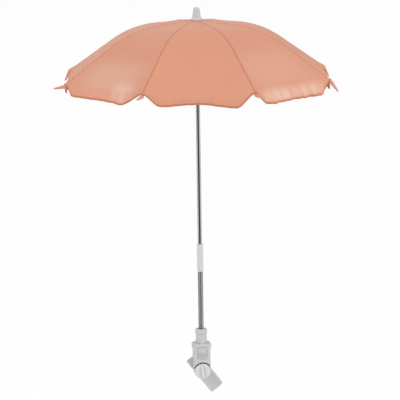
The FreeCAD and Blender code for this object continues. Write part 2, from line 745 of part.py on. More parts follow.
def neck_coil(index):
    """Stretch of wound wire between two bends, which start and end on the axis of the bends."""
    mean = (NECK_DIAMETER - NECK_WIRE_DIAMETER) / 2
    turn_per_mm = 2 * math.pi / NECK_PITCH
    first_bend = neck_hinge_level(0)
    trim = NECK_BREAK / 2 / mean
    low = COLLAR_TOP - NECK_END_DEPTH
    high = SLEEVE_LOW + NECK_END_DEPTH
    low_trim = 0
    high_trim = 0
    if index > 0:
        low = neck_hinge_level(index - 1)
        low_trim = trim
    if index < NECK_LINKS:
        high = neck_hinge_level(index)
        high_trim = trim
    first_angle = math.pi / 2 + (low - first_bend) * turn_per_mm + low_trim
    last_angle = math.pi / 2 + (high - first_bend) * turn_per_mm - high_trim
    start_level = first_bend - NECK_PITCH / 4
    return coil(mean, NECK_WIRE_DIAMETER, NECK_PITCH, first_angle, last_angle, start_level)


def neck_sleeve():
    """Sleeve with a bore for the pole from above and one for the gooseneck from below."""
    outer = SLEEVE_DIAMETER / 2
    sleeve = turned([
        (0, 0),
        (outer - SLEEVE_RIM, 0),
        (outer, SLEEVE_RIM),
        (outer, SLEEVE_LENGTH - SLEEVE_RIM),
        (outer - SLEEVE_RIM, SLEEVE_LENGTH),
        (0, SLEEVE_LENGTH),
    ])
    coil_bore = Part.makeCylinder(NECK_DIAMETER / 2 + SEAT_GAP, NECK_END_DEPTH + NECK_WIRE_DIAMETER)
    pole_start = Vector(0, 0, SLEEVE_LENGTH - POLE_FOOT_DEPTH)
    pole_bore = Part.makeCylinder(POLE_RADIUS + SEAT_GAP, POLE_FOOT_DEPTH, pole_start)
    return sleeve.cut(coil_bore).cut(pole_bore)


def neck_plug():
    """Foot of the gooseneck with the latch groove and the bore that holds the wire."""
    radius = PLUG_DIAMETER / 2
    groove = PLUG_GROOVE_DIAMETER / 2
    low = SOCKET_FLOOR + RUN_GAP
    top = NECK_TOP + SPIGOT_HEIGHT - RUN_GAP
    groove_half = LATCH_THICKNESS / 2 + LATCH_GROOVE_PLAY
    plug = turned([
        (0, low),
        (radius - LATCH_GROOVE_PLAY, low),
        (radius, low + LATCH_GROOVE_PLAY),
        (radius, LATCH_LEVEL - groove_half),
        (groove, LATCH_LEVEL - groove_half),
        (groove, LATCH_LEVEL + groove_half),
        (radius, LATCH_LEVEL + groove_half),
        (radius, top),
        (0, top),
    ])
    floor = COLLAR_TOP - NECK_END_DEPTH - NECK_WIRE_DIAMETER
    bore = Part.makeCylinder(NECK_DIAMETER / 2 + SEAT_GAP, top - floor, Vector(0, 0, floor))
    return plug.cut(bore)


# Socket block

def block_body():
    """Outer form of the block: a flared shoulder and a tapered neck with its spigot."""
    narrow = (BLOCK_WIDTH, BLOCK_DEPTH, BLOCK_CORNER)
    wide = (SHOULDER_WIDTH, BLOCK_DEPTH, BLOCK_CORNER)
    tip = (SHOULDER_WIDTH - 2 * SHOULDER_CHAMFER, BLOCK_DEPTH - 2 * SHOULDER_CHAMFER, BLOCK_CORNER)
    levels = [
        (narrow, BLOCK_LOW),
        (narrow, SHOULDER_LOW),
        (wide, SHOULDER_LOW + SHOULDER_FLARE),
        (wide, BLOCK_TOP - SHOULDER_CHAMFER),
        (tip, BLOCK_TOP),
    ]
    wires = [rounded_rectangle(*section, height) for section, height in levels]
    body = Part.makeLoft(wires, True, True)
    neck = turned([
        (0, BLOCK_TOP),
        (NECK_FOOT_RADIUS, BLOCK_TOP),
        (NECK_HEAD_RADIUS, NECK_TOP),
        (SPIGOT_RADIUS, NECK_TOP),
        (SPIGOT_RADIUS, NECK_TOP + SPIGOT_HEIGHT),
        (0, NECK_TOP + SPIGOT_HEIGHT),
    ])
    return on_pole(body.fuse(neck), 0)


def socket_housing():
    """Block with the ear it tilts on, the arch over the knob, the socket and the button's window."""
    ear = rod_y(EAR_RADIUS, EAR_FRONT, EAR_BACK)
    ear = ear.fuse(box((-EAR_RADIUS, EAR_RADIUS), (EAR_FRONT, EAR_BACK), (0, BLOCK_LOW + OVERRUN)))
    body = block_body().fuse(ear)
    body = body.cut(rod_y(ARCH_RADIUS, BLOCK_FRONT - OVERRUN, EAR_FRONT))
    body = body.cut(rod_y(SCREW_DIAMETER / 2 + RUN_GAP, BLOCK_FRONT, EAR_BACK + OVERRUN))
    socket = Part.makeCylinder(PLUG_DIAMETER / 2 + RUN_GAP, COLLAR_TOP - SOCKET_FLOOR)
    body = body.cut(on_pole(socket, SOCKET_FLOOR))
    half = WINDOW_WIDTH / 2
    window = box((-half, half), (BLOCK_FRONT - OVERRUN, WINDOW_FLOOR), (WINDOW_LOW, WINDOW_HIGH))
    body = body.cut(window)
    latch_half = LATCH_WIDTH / 2 + RUN_GAP
    latch_end = POLE_Y + latch_back() + BUTTON_TRAVEL + RUN_GAP
    level_half = LATCH_THICKNESS / 2 + RUN_GAP
    levels = (LATCH_LEVEL - level_half, LATCH_LEVEL + level_half)
    body = body.cut(box((-latch_half, latch_half), (WINDOW_FLOOR - OVERRUN, latch_end), levels))
    pocket = rod_y(SPRING_DIAMETER / 2 + RUN_GAP, WINDOW_FLOOR - OVERRUN, WINDOW_FLOOR + SPRING_POCKET_DEPTH,
                   0, SPRING_HEIGHT)
    return body.cut(pocket).removeSplitter()


def socket_collar():
    """Ring on the spigot, with a lip over the plug."""
    lip_low = SPIGOT_HEIGHT + RUN_GAP
    inner = NECK_DIAMETER / 2 + PLUG_LIP_GAP
    seat = SPIGOT_RADIUS + SEAT_GAP
    collar = turned([
        (seat, 0),
        (COLLAR_RADIUS, 0),
        (COLLAR_RADIUS, COLLAR_HEIGHT - COLLAR_CHAMFER),
        (COLLAR_RADIUS - COLLAR_CHAMFER, COLLAR_HEIGHT),
        (inner, COLLAR_HEIGHT),
        (inner, lip_low),
        (seat, lip_low),
    ])
    return on_pole(collar, NECK_TOP)


def latch_back():
    """Place of the latch ring's rear edge behind the pole's axis."""
    return PLUG_DIAMETER / 2 - LATCH_BITE + LATCH_BACK


def release_button():
    """Ribbed button with the ring that locks the plug, whose rear edge bites into the plug's groove."""
    half = WINDOW_WIDTH / 2 - RUN_GAP
    front = BLOCK_FRONT - BUTTON_PROUD
    back = front + BUTTON_THICKNESS
    low = WINDOW_LOW + RUN_GAP
    high = WINDOW_HIGH - RUN_GAP
    button = box((-half, half), (front, back), (low, high))
    for index in range(BUTTON_RIBS):
        middle = low + (high - low) * (index + 1) / (2 * BUTTON_RIBS)
        rib_half = BUTTON_RIB_WIDTH / 2
        reach = half - BUTTON_RIB_WIDTH
        button = button.fuse(
            box((-reach, reach), (front - BUTTON_RIB_HEIGHT, front), (middle - rib_half, middle + rib_half)))
    levels = (LATCH_LEVEL - LATCH_THICKNESS / 2, LATCH_LEVEL + LATCH_THICKNESS / 2)
    ring_half = LATCH_WIDTH / 2
    ring = box((-ring_half, ring_half), (back, POLE_Y + latch_back()), levels)
    hole_half = ring_half - LATCH_RAIL
    hole_front = POLE_Y - PLUG_DIAMETER / 2 - RUN_GAP - BUTTON_TRAVEL
    hole_back = POLE_Y + PLUG_DIAMETER / 2 - LATCH_BITE
    hole = box((-hole_half, hole_half), (hole_front, hole_back), levels)
    return button.fuse(ring.cut(hole)).removeSplitter()


def button_spring():
    """Coil between the window's floor and the button."""
    back = WINDOW_FLOOR + SPRING_POCKET_DEPTH - SPRING_WIRE / 2
    front = BLOCK_FRONT - BUTTON_PROUD + BUTTON_THICKNESS + SPRING_WIRE / 2
    length = back - front - RUN_GAP
    mean = (SPRING_DIAMETER - SPRING_WIRE) / 2
    spring = coil(mean, SPRING_WIRE, length / SPRING_TURNS, 0, 2 * math.pi * SPRING_TURNS, 0)
    spring.rotate(Vector(0, 0, 0), Vector(1, 0, 0), -90)
    spring.translate(Vector(0, front + RUN_GAP / 2, SPRING_HEIGHT))
    return spring


# Knob, screw and clamp

def screw_head():
    """Hexagonal head of the screw, as a solid along Y that ends under the knob's skin."""
    corners = []
    for index in range(6):
        angle = math.radians(60 * index)
        corners.append(Vector(math.cos(angle), 0, math.sin(angle)) * SCREW_HEAD_RADIUS)
    head = outline_face(corners).extrude(Vector(0, SCREW_HEAD_HEIGHT, 0))
    head.translate(Vector(0, KNOB_FRONT + SCREW_SKIN, 0))
    return head


def screw_end():
    """Place of the screw's rear end, just short of the pad when the clamp is wide open."""
    return -TUBE_RADIUS - PAD_OPEN_TRAVEL - SCREW_END_GAP


def clamp_screw():
    """Screw with a hexagonal head that the knob is moulded on."""
    shaft = rod_y(SCREW_DIAMETER / 2, KNOB_FRONT + SCREW_SKIN, screw_end())
    return shaft.fuse(screw_head()).removeSplitter()


def tilt_knob():
    """Fluted knob with a raised thumb bar."""
    disc = turned([
        (0, 0),
        (KNOB_RADIUS, 0),
        (KNOB_RADIUS, KNOB_THICKNESS - KNOB_CHAMFER),
        (KNOB_RADIUS - KNOB_CHAMFER, KNOB_THICKNESS),
        (0, KNOB_THICKNESS),
    ])
    for index in range(KNOB_FLUTES):
        angle = 2 * math.pi * index / KNOB_FLUTES
        reach = KNOB_RADIUS + KNOB_FLUTE_RADIUS / 2
        place = Vector(reach * math.cos(angle), reach * math.sin(angle), -OVERRUN)
        disc = disc.cut(Part.makeCylinder(KNOB_FLUTE_RADIUS, KNOB_THICKNESS + 2 * OVERRUN, place))
    foot = rounded_rectangle(KNOB_BAR_WIDTH, KNOB_BAR_LENGTH, KNOB_BAR_CORNER, KNOB_THICKNESS - KNOB_CHAMFER)
    head = rounded_rectangle(KNOB_BAR_WIDTH - 2 * KNOB_BAR_TAPER, KNOB_BAR_LENGTH - 2 * KNOB_BAR_END_TAPER,
                             KNOB_BAR_CORNER - KNOB_BAR_TAPER, KNOB_THICKNESS + KNOB_BAR_HEIGHT)
    bar = Part.makeLoft([foot, head], True, True)
    bar.rotate(Vector(0, 0, 0), Vector(0, 0, 1), KNOB_BAR_TURN_DEG)
    knob = disc.fuse(bar)
    knob.rotate(Vector(0, 0, 0), Vector(1, 0, 0), 90)
    knob.translate(Vector(0, KNOB_BACK, 0))
    knob = knob.cut(rod_y(SCREW_DIAMETER / 2 + SEAT_GAP, KNOB_FRONT + SCREW_SKIN, KNOB_BACK + OVERRUN))
    return knob.cut(screw_head()).removeSplitter()


def slanted(shape):
    """Turn a piece that was made along +X to the slant of the tube."""
    shape.rotate(Vector(0, 0, 0), Vector(0, 1, 0), HOOK_SLANT_DEG)
    return shape


def tube_point(radius, degrees):
    """Point round the tube's axis: 0 is the upper side and 90 the rear."""
    angle = math.radians(degrees)
    return Vector(0, radius * math.sin(angle), radius * math.cos(angle))


def tube_arc(radius, first, last):
    """Arc round the tube's axis between two angles."""
    ends = [tube_point(radius, degrees) for degrees in (first, (first + last) / 2, last)]
    return Part.Arc(*ends).toShape()


def hook_section():
    """Section of the hook across the tube: a front plate, one side and an arc round the rear."""
    half = HOOK_WIDTH / 2
    seat = TUBE_RADIUS + LINER_THICKNESS
    outer = seat + HOOK_WALL
    lip = tube_point(seat, -HOOK_LIP_DEG)
    chain = [
        Vector(0, -PLATE_BACK, lip.z),
        Vector(0, -PLATE_BACK, -half),
        Vector(0, PLATE_FRONT + HOOK_EDGE, -half),
        Vector(0, PLATE_FRONT, HOOK_EDGE - half),
        Vector(0, PLATE_FRONT, half - HOOK_EDGE),
        Vector(0, PLATE_FRONT + HOOK_EDGE, half),
        tube_point(outer, 0),
    ]
    edges = [Part.makeLine(start, end) for start, end in zip(chain, chain[1:])]
    edges.append(tube_arc(outer, 0, HOOK_TIP_DEG))
    edges.append(Part.makeLine(tube_point(outer, HOOK_TIP_DEG), tube_point(seat, HOOK_TIP_DEG)))
    edges.append(tube_arc(seat, HOOK_TIP_DEG, -HOOK_LIP_DEG))
    edges.append(Part.makeLine(lip, chain[0]))
    return Part.Face(Part.Wire(edges))


def clamp_hook():
    """Hook round the tube, with a round boss that the block tilts on and a pocket for the pad's nut."""
    length = HOOK_UPPER_REACH + HOOK_LOWER_REACH
    depth = PLATE_BACK + PLATE_THICKNESS + HOOK_WIDTH
    hook = hook_section().extrude(Vector(length, 0, 0))
    outline = Part.Face(rounded_rectangle(length, HOOK_WIDTH, HOOK_CORNER, 0)).extrude(Vector(0, 0, depth))
    outline.rotate(Vector(0, 0, 0), Vector(1, 0, 0), -90)
    outline.translate(Vector(length / 2, PLATE_FRONT, 0))
    hook = hook.common(outline)
    rear = box((0, HOOK_UPPER_REACH - HOOK_ARC_REACH), (-PLATE_BACK, depth), (-HOOK_WIDTH, HOOK_WIDTH))
    hook = hook.cut(rear)
    hook.translate(Vector(-HOOK_UPPER_REACH, 0, 0))
    hook = slanted(hook).fuse(rod_y(BOSS_RADIUS, BOSS_FRONT, PLATE_FRONT + OVERRUN))
    pocket = rod_y(PAD_NUT_RADIUS + RUN_GAP, BOSS_FRONT + BOSS_SKIN, OVERRUN - PLATE_BACK)
    hole = rod_y(SCREW_DIAMETER / 2 + RUN_GAP, BOSS_FRONT - OVERRUN, -PLATE_BACK)
    return hook.cut(pocket).cut(hole).removeSplitter()


def grip_liner():
    """Rubber lining of the hook."""
    seat = TUBE_RADIUS + LINER_THICKNESS
    edges = [
        tube_arc(TUBE_RADIUS, -HOOK_LIP_DEG, HOOK_TIP_DEG),
        Part.makeLine(tube_point(TUBE_RADIUS, HOOK_TIP_DEG), tube_point(seat, HOOK_TIP_DEG)),
        tube_arc(seat, HOOK_TIP_DEG, -HOOK_LIP_DEG),
        Part.makeLine(tube_point(seat, -HOOK_LIP_DEG), tube_point(TUBE_RADIUS, -HOOK_LIP_DEG)),
    ]
    liner = Part.Face(Part.Wire(edges)).extrude(Vector(HOOK_ARC_REACH + HOOK_LOWER_REACH, 0, 0))
    liner.translate(Vector(-HOOK_ARC_REACH, 0, 0))
    return slanted(liner)


def friction_washer():
    """Washer between the hook's boss and the ear."""
    washer = rod_y(WASHER_RADIUS, WASHER_FRONT, BOSS_FRONT)
    return washer.cut(rod_y(SCREW_DIAMETER / 2 + RUN_GAP, WASHER_FRONT - OVERRUN, BOSS_FRONT + OVERRUN))


def pressure_pad():
    """Saddle in front of the tube, with a nut that the screw turns in."""
    half_width = PAD_WIDTH / 2
    half_length = PAD_LENGTH / 2
    back = -TUBE_RADIUS - PAD_BACK
    saddle = box((-half_length, half_length), (back, PAD_WING - TUBE_RADIUS), (-half_width, half_width))
    tube = Part.makeCylinder(TUBE_RADIUS, 2 * PAD_LENGTH, Vector(-PAD_LENGTH, 0, 0), Vector(1, 0, 0))
    saddle = slanted(saddle.cut(tube))
    nut = rod_y(PAD_NUT_RADIUS, back - PAD_NUT_LENGTH, back)
    bore = rod_y(SCREW_DIAMETER / 2 + PIN_GAP, back - PAD_NUT_LENGTH - OVERRUN, screw_end() + PAD_OPEN_TRAVEL
                 + SCREW_END_GAP / 2)
    return saddle.fuse(nut).cut(bore).removeSplitter()


def pieces():
    """Every piece of the parasol by name, in its place."""
    made = {
        "clamp_hook": clamp_hook(),
        "grip_liner": grip_liner(),
        "friction_washer": friction_washer(),
        "pressure_pad": pressure_pad(),
        "tilt_knob": tilt_knob(),
        "clamp_screw": clamp_screw(),
        "socket_housing": socket_housing(),
        "socket_collar": socket_collar(),
        "release_button": release_button(),
        "button_spring": button_spring(),
        "neck_plug": on_pole(neck_plug(), 0),
        "neck_sleeve": on_pole(neck_sleeve(), SLEEVE_LOW),
        "pole_tube": on_pole(pole_tube(), CROWN_LEVEL),
        "catch_spring": on_pole(catch_spring(), CROWN_LEVEL),
        "top_notch": on_pole(top_notch(), CROWN_LEVEL),
        "notch_wire": on_pole(hinge_wire(), CROWN_LEVEL),
        "canopy_crown": on_pole(canopy_crown(), CROWN_LEVEL),
        "ferrule": on_pole(ferrule(), CROWN_LEVEL),
        "runner": on_pole(runner(), CROWN_LEVEL + runner_point().z),
        "runner_wire": on_pole(hinge_wire(), CROWN_LEVEL + runner_point().z),
    }
    for index in range(NECK_LINKS + 1):
        made[f"neck_coil_{index + 1}"] = on_pole(neck_coil(index), 0)
    one_rib = rib()
    one_stretcher = stretcher()
    one_cloth = canopy_cloth()
    for index in range(RIB_COUNT):
        made[f"rib_{index + 1}"] = round_pole(one_rib.copy(), index)
        made[f"stretcher_{index + 1}"] = round_pole(one_stretcher.copy(), index)
        made[f"canopy_cloth_{index + 1}"] = round_pole(one_cloth.copy(), index)
        made[f"rib_tip_{index + 1}"] = round_pole(rib_tip(TIP_DROOP_DEG[index]), index)
    return made


def main():
    os.makedirs("parts", exist_ok=True)
    mean = (NECK_DIAMETER - NECK_WIRE_DIAMETER) / 2
    print("least gap of the gooseneck's turns", round(coil_gap(mean, NECK_WIRE_DIAMETER, NECK_PITCH), 3))
    for name, shape in pieces().items():
        shape.exportStep(f"parts/{name}.step")
        print(name, len(shape.Solids), shape.isValid(), round(shape.Volume, 1))


if __name__ == "__main__":
    main()
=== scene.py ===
"""Pram parasol: its cloth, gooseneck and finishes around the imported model, with studio and camera."""

import math

import bpy
import numpy as np
from bpy.props import FloatProperty, FloatVectorProperty, IntProperty, PointerProperty
from mathutils import Matrix, Vector


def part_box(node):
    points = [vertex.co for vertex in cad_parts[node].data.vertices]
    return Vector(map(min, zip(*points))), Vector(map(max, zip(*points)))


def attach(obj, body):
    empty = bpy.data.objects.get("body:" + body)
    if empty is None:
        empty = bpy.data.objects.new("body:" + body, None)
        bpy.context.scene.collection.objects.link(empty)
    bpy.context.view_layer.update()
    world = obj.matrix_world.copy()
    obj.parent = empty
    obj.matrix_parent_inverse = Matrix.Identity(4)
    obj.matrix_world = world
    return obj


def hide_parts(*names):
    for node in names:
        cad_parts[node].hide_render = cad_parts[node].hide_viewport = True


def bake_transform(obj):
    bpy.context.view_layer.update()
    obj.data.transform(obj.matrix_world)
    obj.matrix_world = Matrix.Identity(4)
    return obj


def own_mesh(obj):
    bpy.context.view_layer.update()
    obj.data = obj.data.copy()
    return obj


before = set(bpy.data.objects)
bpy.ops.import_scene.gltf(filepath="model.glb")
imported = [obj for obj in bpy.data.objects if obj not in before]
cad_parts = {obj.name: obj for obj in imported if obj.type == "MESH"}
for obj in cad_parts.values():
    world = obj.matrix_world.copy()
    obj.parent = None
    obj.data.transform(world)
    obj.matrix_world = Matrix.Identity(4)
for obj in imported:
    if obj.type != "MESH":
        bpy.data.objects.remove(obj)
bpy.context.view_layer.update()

bl_info = {
    "name": "Pram parasol",
    "version": (1, 0, 0),
    "blender": (4, 5, 0),
    "location": "View3D > Sidebar > Parasol",
    "description": "Cloth, gooseneck, finishes and studio of a pram parasol",
    "category": "Object",
}

RIBS = 8
HALF_GORE = math.pi / RIBS
MM_PER_METRE = 1000


def middle(node):
    """Centre of a node's box."""
    low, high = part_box(node)
    return (low + high) / 2


POLE_AXIS = middle("pole_tube")
CROWN = middle("notch_wire").z
COLLAR_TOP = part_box("socket_collar")[1].z
SLEEVE_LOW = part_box("neck_sleeve")[0].z


def linear(hex_colour):
    """Linear red, green and blue of an sRGB hex colour."""
    parts = [int(hex_colour[start:start + 2], 16) / 255 for start in (1, 3, 5)]
    return [part / 12.92 if part <= 0.04045 else ((part + 0.055) / 1.055) ** 2.4 for part in parts]


def length(name, text, millimetres):
    """A length property whose default is given in millimetres."""
    return FloatProperty(name=name, description=text, default=millimetres / MM_PER_METRE,
                         min=0, unit="LENGTH")


def slope(name, text, degrees):
    """An angle property whose default is given in degrees."""
    return FloatProperty(name=name, description=text, default=math.radians(degrees), unit="ROTATION")


def tint(name, text, hex_colour):
    """A colour property whose default is an sRGB hex colour."""
    return FloatVectorProperty(name=name, description=text, default=linear(hex_colour), min=0, max=1,
                               size=3, subtype="COLOR")


class ParasolCanopy(bpy.types.PropertyGroup):
    """Sizes of the cloth."""
    radius: length("Radius", "From the pole to a corner of the cloth", 321)
    crown_edge: length("Crown edge", "Radius of the cloth that the ferrule holds", 15.4)
    crown_top: length("Crown top", "Height of the cloth over the ribs' hinge ring", 4.19)
    crown_slope: slope("Crown slope", "Fall of the cloth near the pole", 5.6)
    eave_slope: slope("Eave slope", "Fall of the cloth near its rim", 34.4)
    bow_corner: length("Bow place", "Radius at which a rib bows", 160)
    bow_bend: length("Bow radius", "Radius of a rib's bow", 250)
    thickness: length("Thickness", "Thickness of the cloth", 0.8)
    sag: length("Sag", "Dip of the cloth between two ribs", 1.8)
    seam_lift: length("Seam", "Height of a seam over the cloth", 0.5)
    valance: length("Valance", "Depth of the hanging valance", 34.5)
    hem: length("Hem", "Width of the folded hem", 7)
    pucker: length("Pucker", "Depth of the wrinkles in the valance", 2.0)
    rib_hinge: length("Rib hinge", "Radius of the hinge ring that the ribs fold about", 12)
    first_rib: slope("First rib", "Angle of the first rib round the pole", 14.5)


class ParasolNeck(bpy.types.PropertyGroup):
    """Sizes of the gooseneck's winding."""
    outer: length("Diameter", "Outer diameter of the winding", 12.4)
    wire: length("Wire", "Diameter of the wire", 2.2)
    turns: IntProperty(name="Turns", description="Turns of wire between two links", default=20, min=1)
    end_turns: IntProperty(name="End turns", description="Turns hidden in sleeve and socket", default=5)


class ParasolColours(bpy.types.PropertyGroup):
    """Colours of the finishes."""
    cloth: tint("Cloth", "Coral polyester", "#D29276")
    seam: tint("Seam", "Cloth along seams and hems", "#BC7556")
    thread: tint("Thread", "Sewing thread", "#D8A88E")
    # paler coral painted on patches of the cloth as a highlight: a painted sheen
    painted_sheen: tint("Faded cloth", "Cloth where folding has paled it", "#E3BAA7")
    tips: tint("Rib tips", "Coral ABS", "#D49174")
    white: tint("White parts", "White ABS", "#C4C4C3")
    knob: tint("Knob", "White ABS, polished", "#D7D7D6")
    sleeve: tint("Sleeve", "White PVC", "#D0D0CF")
    grey: tint("Grey parts", "Grey nylon", "#A4A6A8")
    chrome: tint("Pole", "Chrome plating", "#C9CACC")
    winding: tint("Gooseneck", "Nickel plating", "#A8AAAD")
    steel: tint("Ribs", "Zinc plating", "#AEB2B6")
    rubber: tint("Rubber", "Grip rubber", "#202022")


class ParasolStudio(bpy.types.PropertyGroup):
    """Camera and floor."""
    azimuth: slope("Azimuth", "Direction of the camera round the parasol", -8.56)
    elevation: slope("Elevation", "Height of the camera over the aim", 11.32)
    roll: slope("Roll", "Turn of the camera about its view", 0.85)
    distance: FloatProperty(name="Distance", description="From camera to aim", default=5.0, unit="LENGTH")
    lens: FloatProperty(name="Lens", description="Focal length on a 36 mm frame, in mm", default=192.33)
    aim_height: length("Aim", "Height of the aim over the origin", 411)
    aim_side: length("Aim side", "Place of the aim beside the pole", 1.8)
    floor_drop: FloatProperty(name="Floor", description="Floor below the origin", default=0.9, unit="LENGTH")


class ParasolSettings(bpy.types.PropertyGroup):
    """All settings of the parasol."""
    canopy: PointerProperty(type=ParasolCanopy)
    neck: PointerProperty(type=ParasolNeck)
    colours: PointerProperty(type=ParasolColours)
    studio: PointerProperty(type=ParasolStudio)


def settings():
    """The scene's settings of the parasol."""
    return bpy.context.scene.parasol


# Materials

# a wave texture turns by this angle over a length of 1 at a scale of 1
WAVE_TURN = 20.0
# cloth: threads lie 0.25 mm apart, and are drawn further apart so that they show
THREAD_MM, SLUB_MM, CREASE_MM = 1.3, 55, 16
# stitches: distance, half of their width, share that is gap, and their rows beside a seam and along the hem
STITCH_MM, STITCH_HALF_MM, STITCH_GAP_SHARE = 3.4, 0.35, 0.3
SEAM_ROW_MM, HEM_ROW_MM = 2.0, 6.2
# the doubled cloth is darkest up to the first distance and ends at the second
SEAM_ALLOWANCE_MM, SEAM_STRENGTH = (0.8, 4.6), 0.8
HEM_ALLOWANCE_MM, HEM_STRENGTH = (1.5, 8.0), 1.0
# plastic: streaks of its flow, and painted shade: the colour darkened where ambient occlusion finds little
# light
FLOW_MM = 24
PAINTED_SHADE_REACH, PAINTED_SHADE_OCCLUSION, PAINTED_SHADE_STRENGTH, PAINTED_SHADE_DARKNESS = 0.006, (0.25, 0.85), 0.8, 0.42
# metal and rubber: stains, pebbled grip and pale bloom
STAIN_MM, PEBBLE_MM, BLOOM_MM = 30, 1.4, 12


def set_inputs(tree, node, inputs):
    """Set inputs of a node, each to a value or to the socket that feeds it."""
    for key, value in inputs.items():
        if isinstance(value, bpy.types.NodeSocket):
            tree.links.new(value, node.inputs[key])
        else:
            node.inputs[key].default_value = value


def add(tree, kind, inputs=None, **values):
    """Add a node with its settings and inputs."""
    node = tree.nodes.new(kind)
    for key, value in values.items():
        setattr(node, key, value)
    set_inputs(tree, node, inputs or {})
    return node


def start_material(name, colour, roughness, plain=None):
    """New material with the plain values of its Principled shader."""
    material = bpy.data.materials.new(name)
    material.use_nodes = True
    tree = material.node_tree
    shader = tree.nodes["Principled BSDF"]
    set_inputs(tree, shader, {"Base Color": (*colour, 1), "Roughness": roughness, **(plain or {})})
    return material, tree, shader


def shade(colour, factor):
    """A colour made lighter or darker."""
    return (*[min(1.0, part * factor) for part in colour], 1)


def noise_scale(millimetres):
    """Scale of a noise whose grains are about this wide."""
    return MM_PER_METRE / millimetres


def wave_scale(millimetres):
    """Scale of a wave texture that repeats at this distance."""
    return 2 * math.pi / WAVE_TURN / (millimetres / MM_PER_METRE)


def woven_polyester(name, colours):
    """Plain-weave polyester: matt with a faint sheen, darker where doubled, and paler on patches of painted
    highlight.
    """
    material, tree, shader = start_material(name, colours.cloth, 0.62, {
        "Specular IOR Level": 0.25, "Sheen Weight": 0.04, "Sheen Roughness": 0.5})
    weave_place = add(tree, "ShaderNodeUVMap", uv_map="cloth").outputs["UV"]
    place = add(tree, "ShaderNodeTexCoord").outputs["Object"]
    seam, hem, painted_sheen = [add(tree, "ShaderNodeAttribute", attribute_name=pattern).outputs["Fac"]
                        for pattern in PATTERN_NAMES]
    threads = []
    for direction in ("X", "Y"):
        wave = add(tree, "ShaderNodeTexWave", {"Vector": weave_place, "Scale": wave_scale(THREAD_MM),
                                               "Distortion": 0.6, "Detail": 1.0, "Detail Scale": 0.4},
                   bands_direction=direction)
        threads.append(wave.outputs["Fac"])
    weave = add(tree, "ShaderNodeMath", {0: threads[0], 1: threads[1]}, operation="MULTIPLY")
    slub = add(tree, "ShaderNodeTexNoise", {"Vector": place, "Scale": noise_scale(SLUB_MM),
                                            "Detail": 4.0, "Roughness": 0.6})
    tone = add(tree, "ShaderNodeMix", {"Factor": slub.outputs["Fac"], "A": shade(colours.cloth, 0.955),
                                       "B": shade(colours.cloth, 1.045)}, data_type="RGBA")
    # painted highlight: patches of the cloth are mixed toward a paler coral
    paled = add(tree, "ShaderNodeMix", {"Factor": painted_sheen, "A": tone.outputs["Result"],
                                        "B": shade(colours.painted_sheen, 1.0)}, data_type="RGBA")
    near = []
    for source, (full, end), strength in ((seam, SEAM_ALLOWANCE_MM, SEAM_STRENGTH),
                                          (hem, HEM_ALLOWANCE_MM, HEM_STRENGTH)):
        allowance = add(tree, "ShaderNodeMapRange", {"Value": source, "From Min": full, "From Max": end,
                                                     "To Min": strength, "To Max": 0.0},
                        interpolation_type="SMOOTHSTEP")
        near.append(allowance.outputs["Result"])
    edge = add(tree, "ShaderNodeMath", {0: near[0], 1: near[1]}, operation="MAXIMUM")
    doubled = add(tree, "ShaderNodeMix", {"Factor": edge.outputs[0], "A": paled.outputs["Result"],
                                          "B": shade(colours.seam, 1.0)}, data_type="RGBA")
    rows = []
    for source, place_mm, direction in ((seam, SEAM_ROW_MM, "Y"), (hem, HEM_ROW_MM, "X")):
        dashes = add(tree, "ShaderNodeTexWave", {"Vector": weave_place, "Scale": wave_scale(STITCH_MM)},
                     bands_direction=direction)
        away = add(tree, "ShaderNodeMath", {0: source, 1: place_mm}, operation="SUBTRACT")
        far = add(tree, "ShaderNodeMath", {0: away.outputs[0]}, operation="ABSOLUTE")
        line = add(tree, "ShaderNodeMath", {0: far.outputs[0], 1: STITCH_HALF_MM}, operation="LESS_THAN")
        stitch = add(tree, "ShaderNodeMath", {0: dashes.outputs["Fac"], 1: STITCH_GAP_SHARE},
                     operation="GREATER_THAN")
        row = add(tree, "ShaderNodeMath", {0: line.outputs[0], 1: stitch.outputs[0]}, operation="MULTIPLY")
        rows.append(row.outputs[0])
    stitches = add(tree, "ShaderNodeMath", {0: rows[0], 1: rows[1]}, operation="MAXIMUM")
    sewn = add(tree, "ShaderNodeMix", {"Factor": stitches.outputs[0], "A": doubled.outputs["Result"],
                                       "B": shade(colours.thread, 1.0)}, data_type="RGBA")
    raised = add(tree, "ShaderNodeMath", {0: stitches.outputs[0], 1: weave.outputs[0]}, operation="ADD")
    creases = add(tree, "ShaderNodeTexNoise", {"Vector": place, "Scale": noise_scale(CREASE_MM),
                                               "Detail": 2.0, "Distortion": 0.8})
    soft = add(tree, "ShaderNodeBump", {"Height": creases.outputs["Fac"], "Strength": 0.22,
                                        "Distance": 0.0016})
    bump = add(tree, "ShaderNodeBump", {"Height": raised.outputs[0], "Strength": 0.25, "Distance": 0.00025,
                                        "Normal": soft.outputs["Normal"]})
    set_inputs(tree, shader, {"Base Color": sewn.outputs["Result"], "Normal": bump.outputs["Normal"]})
    return material


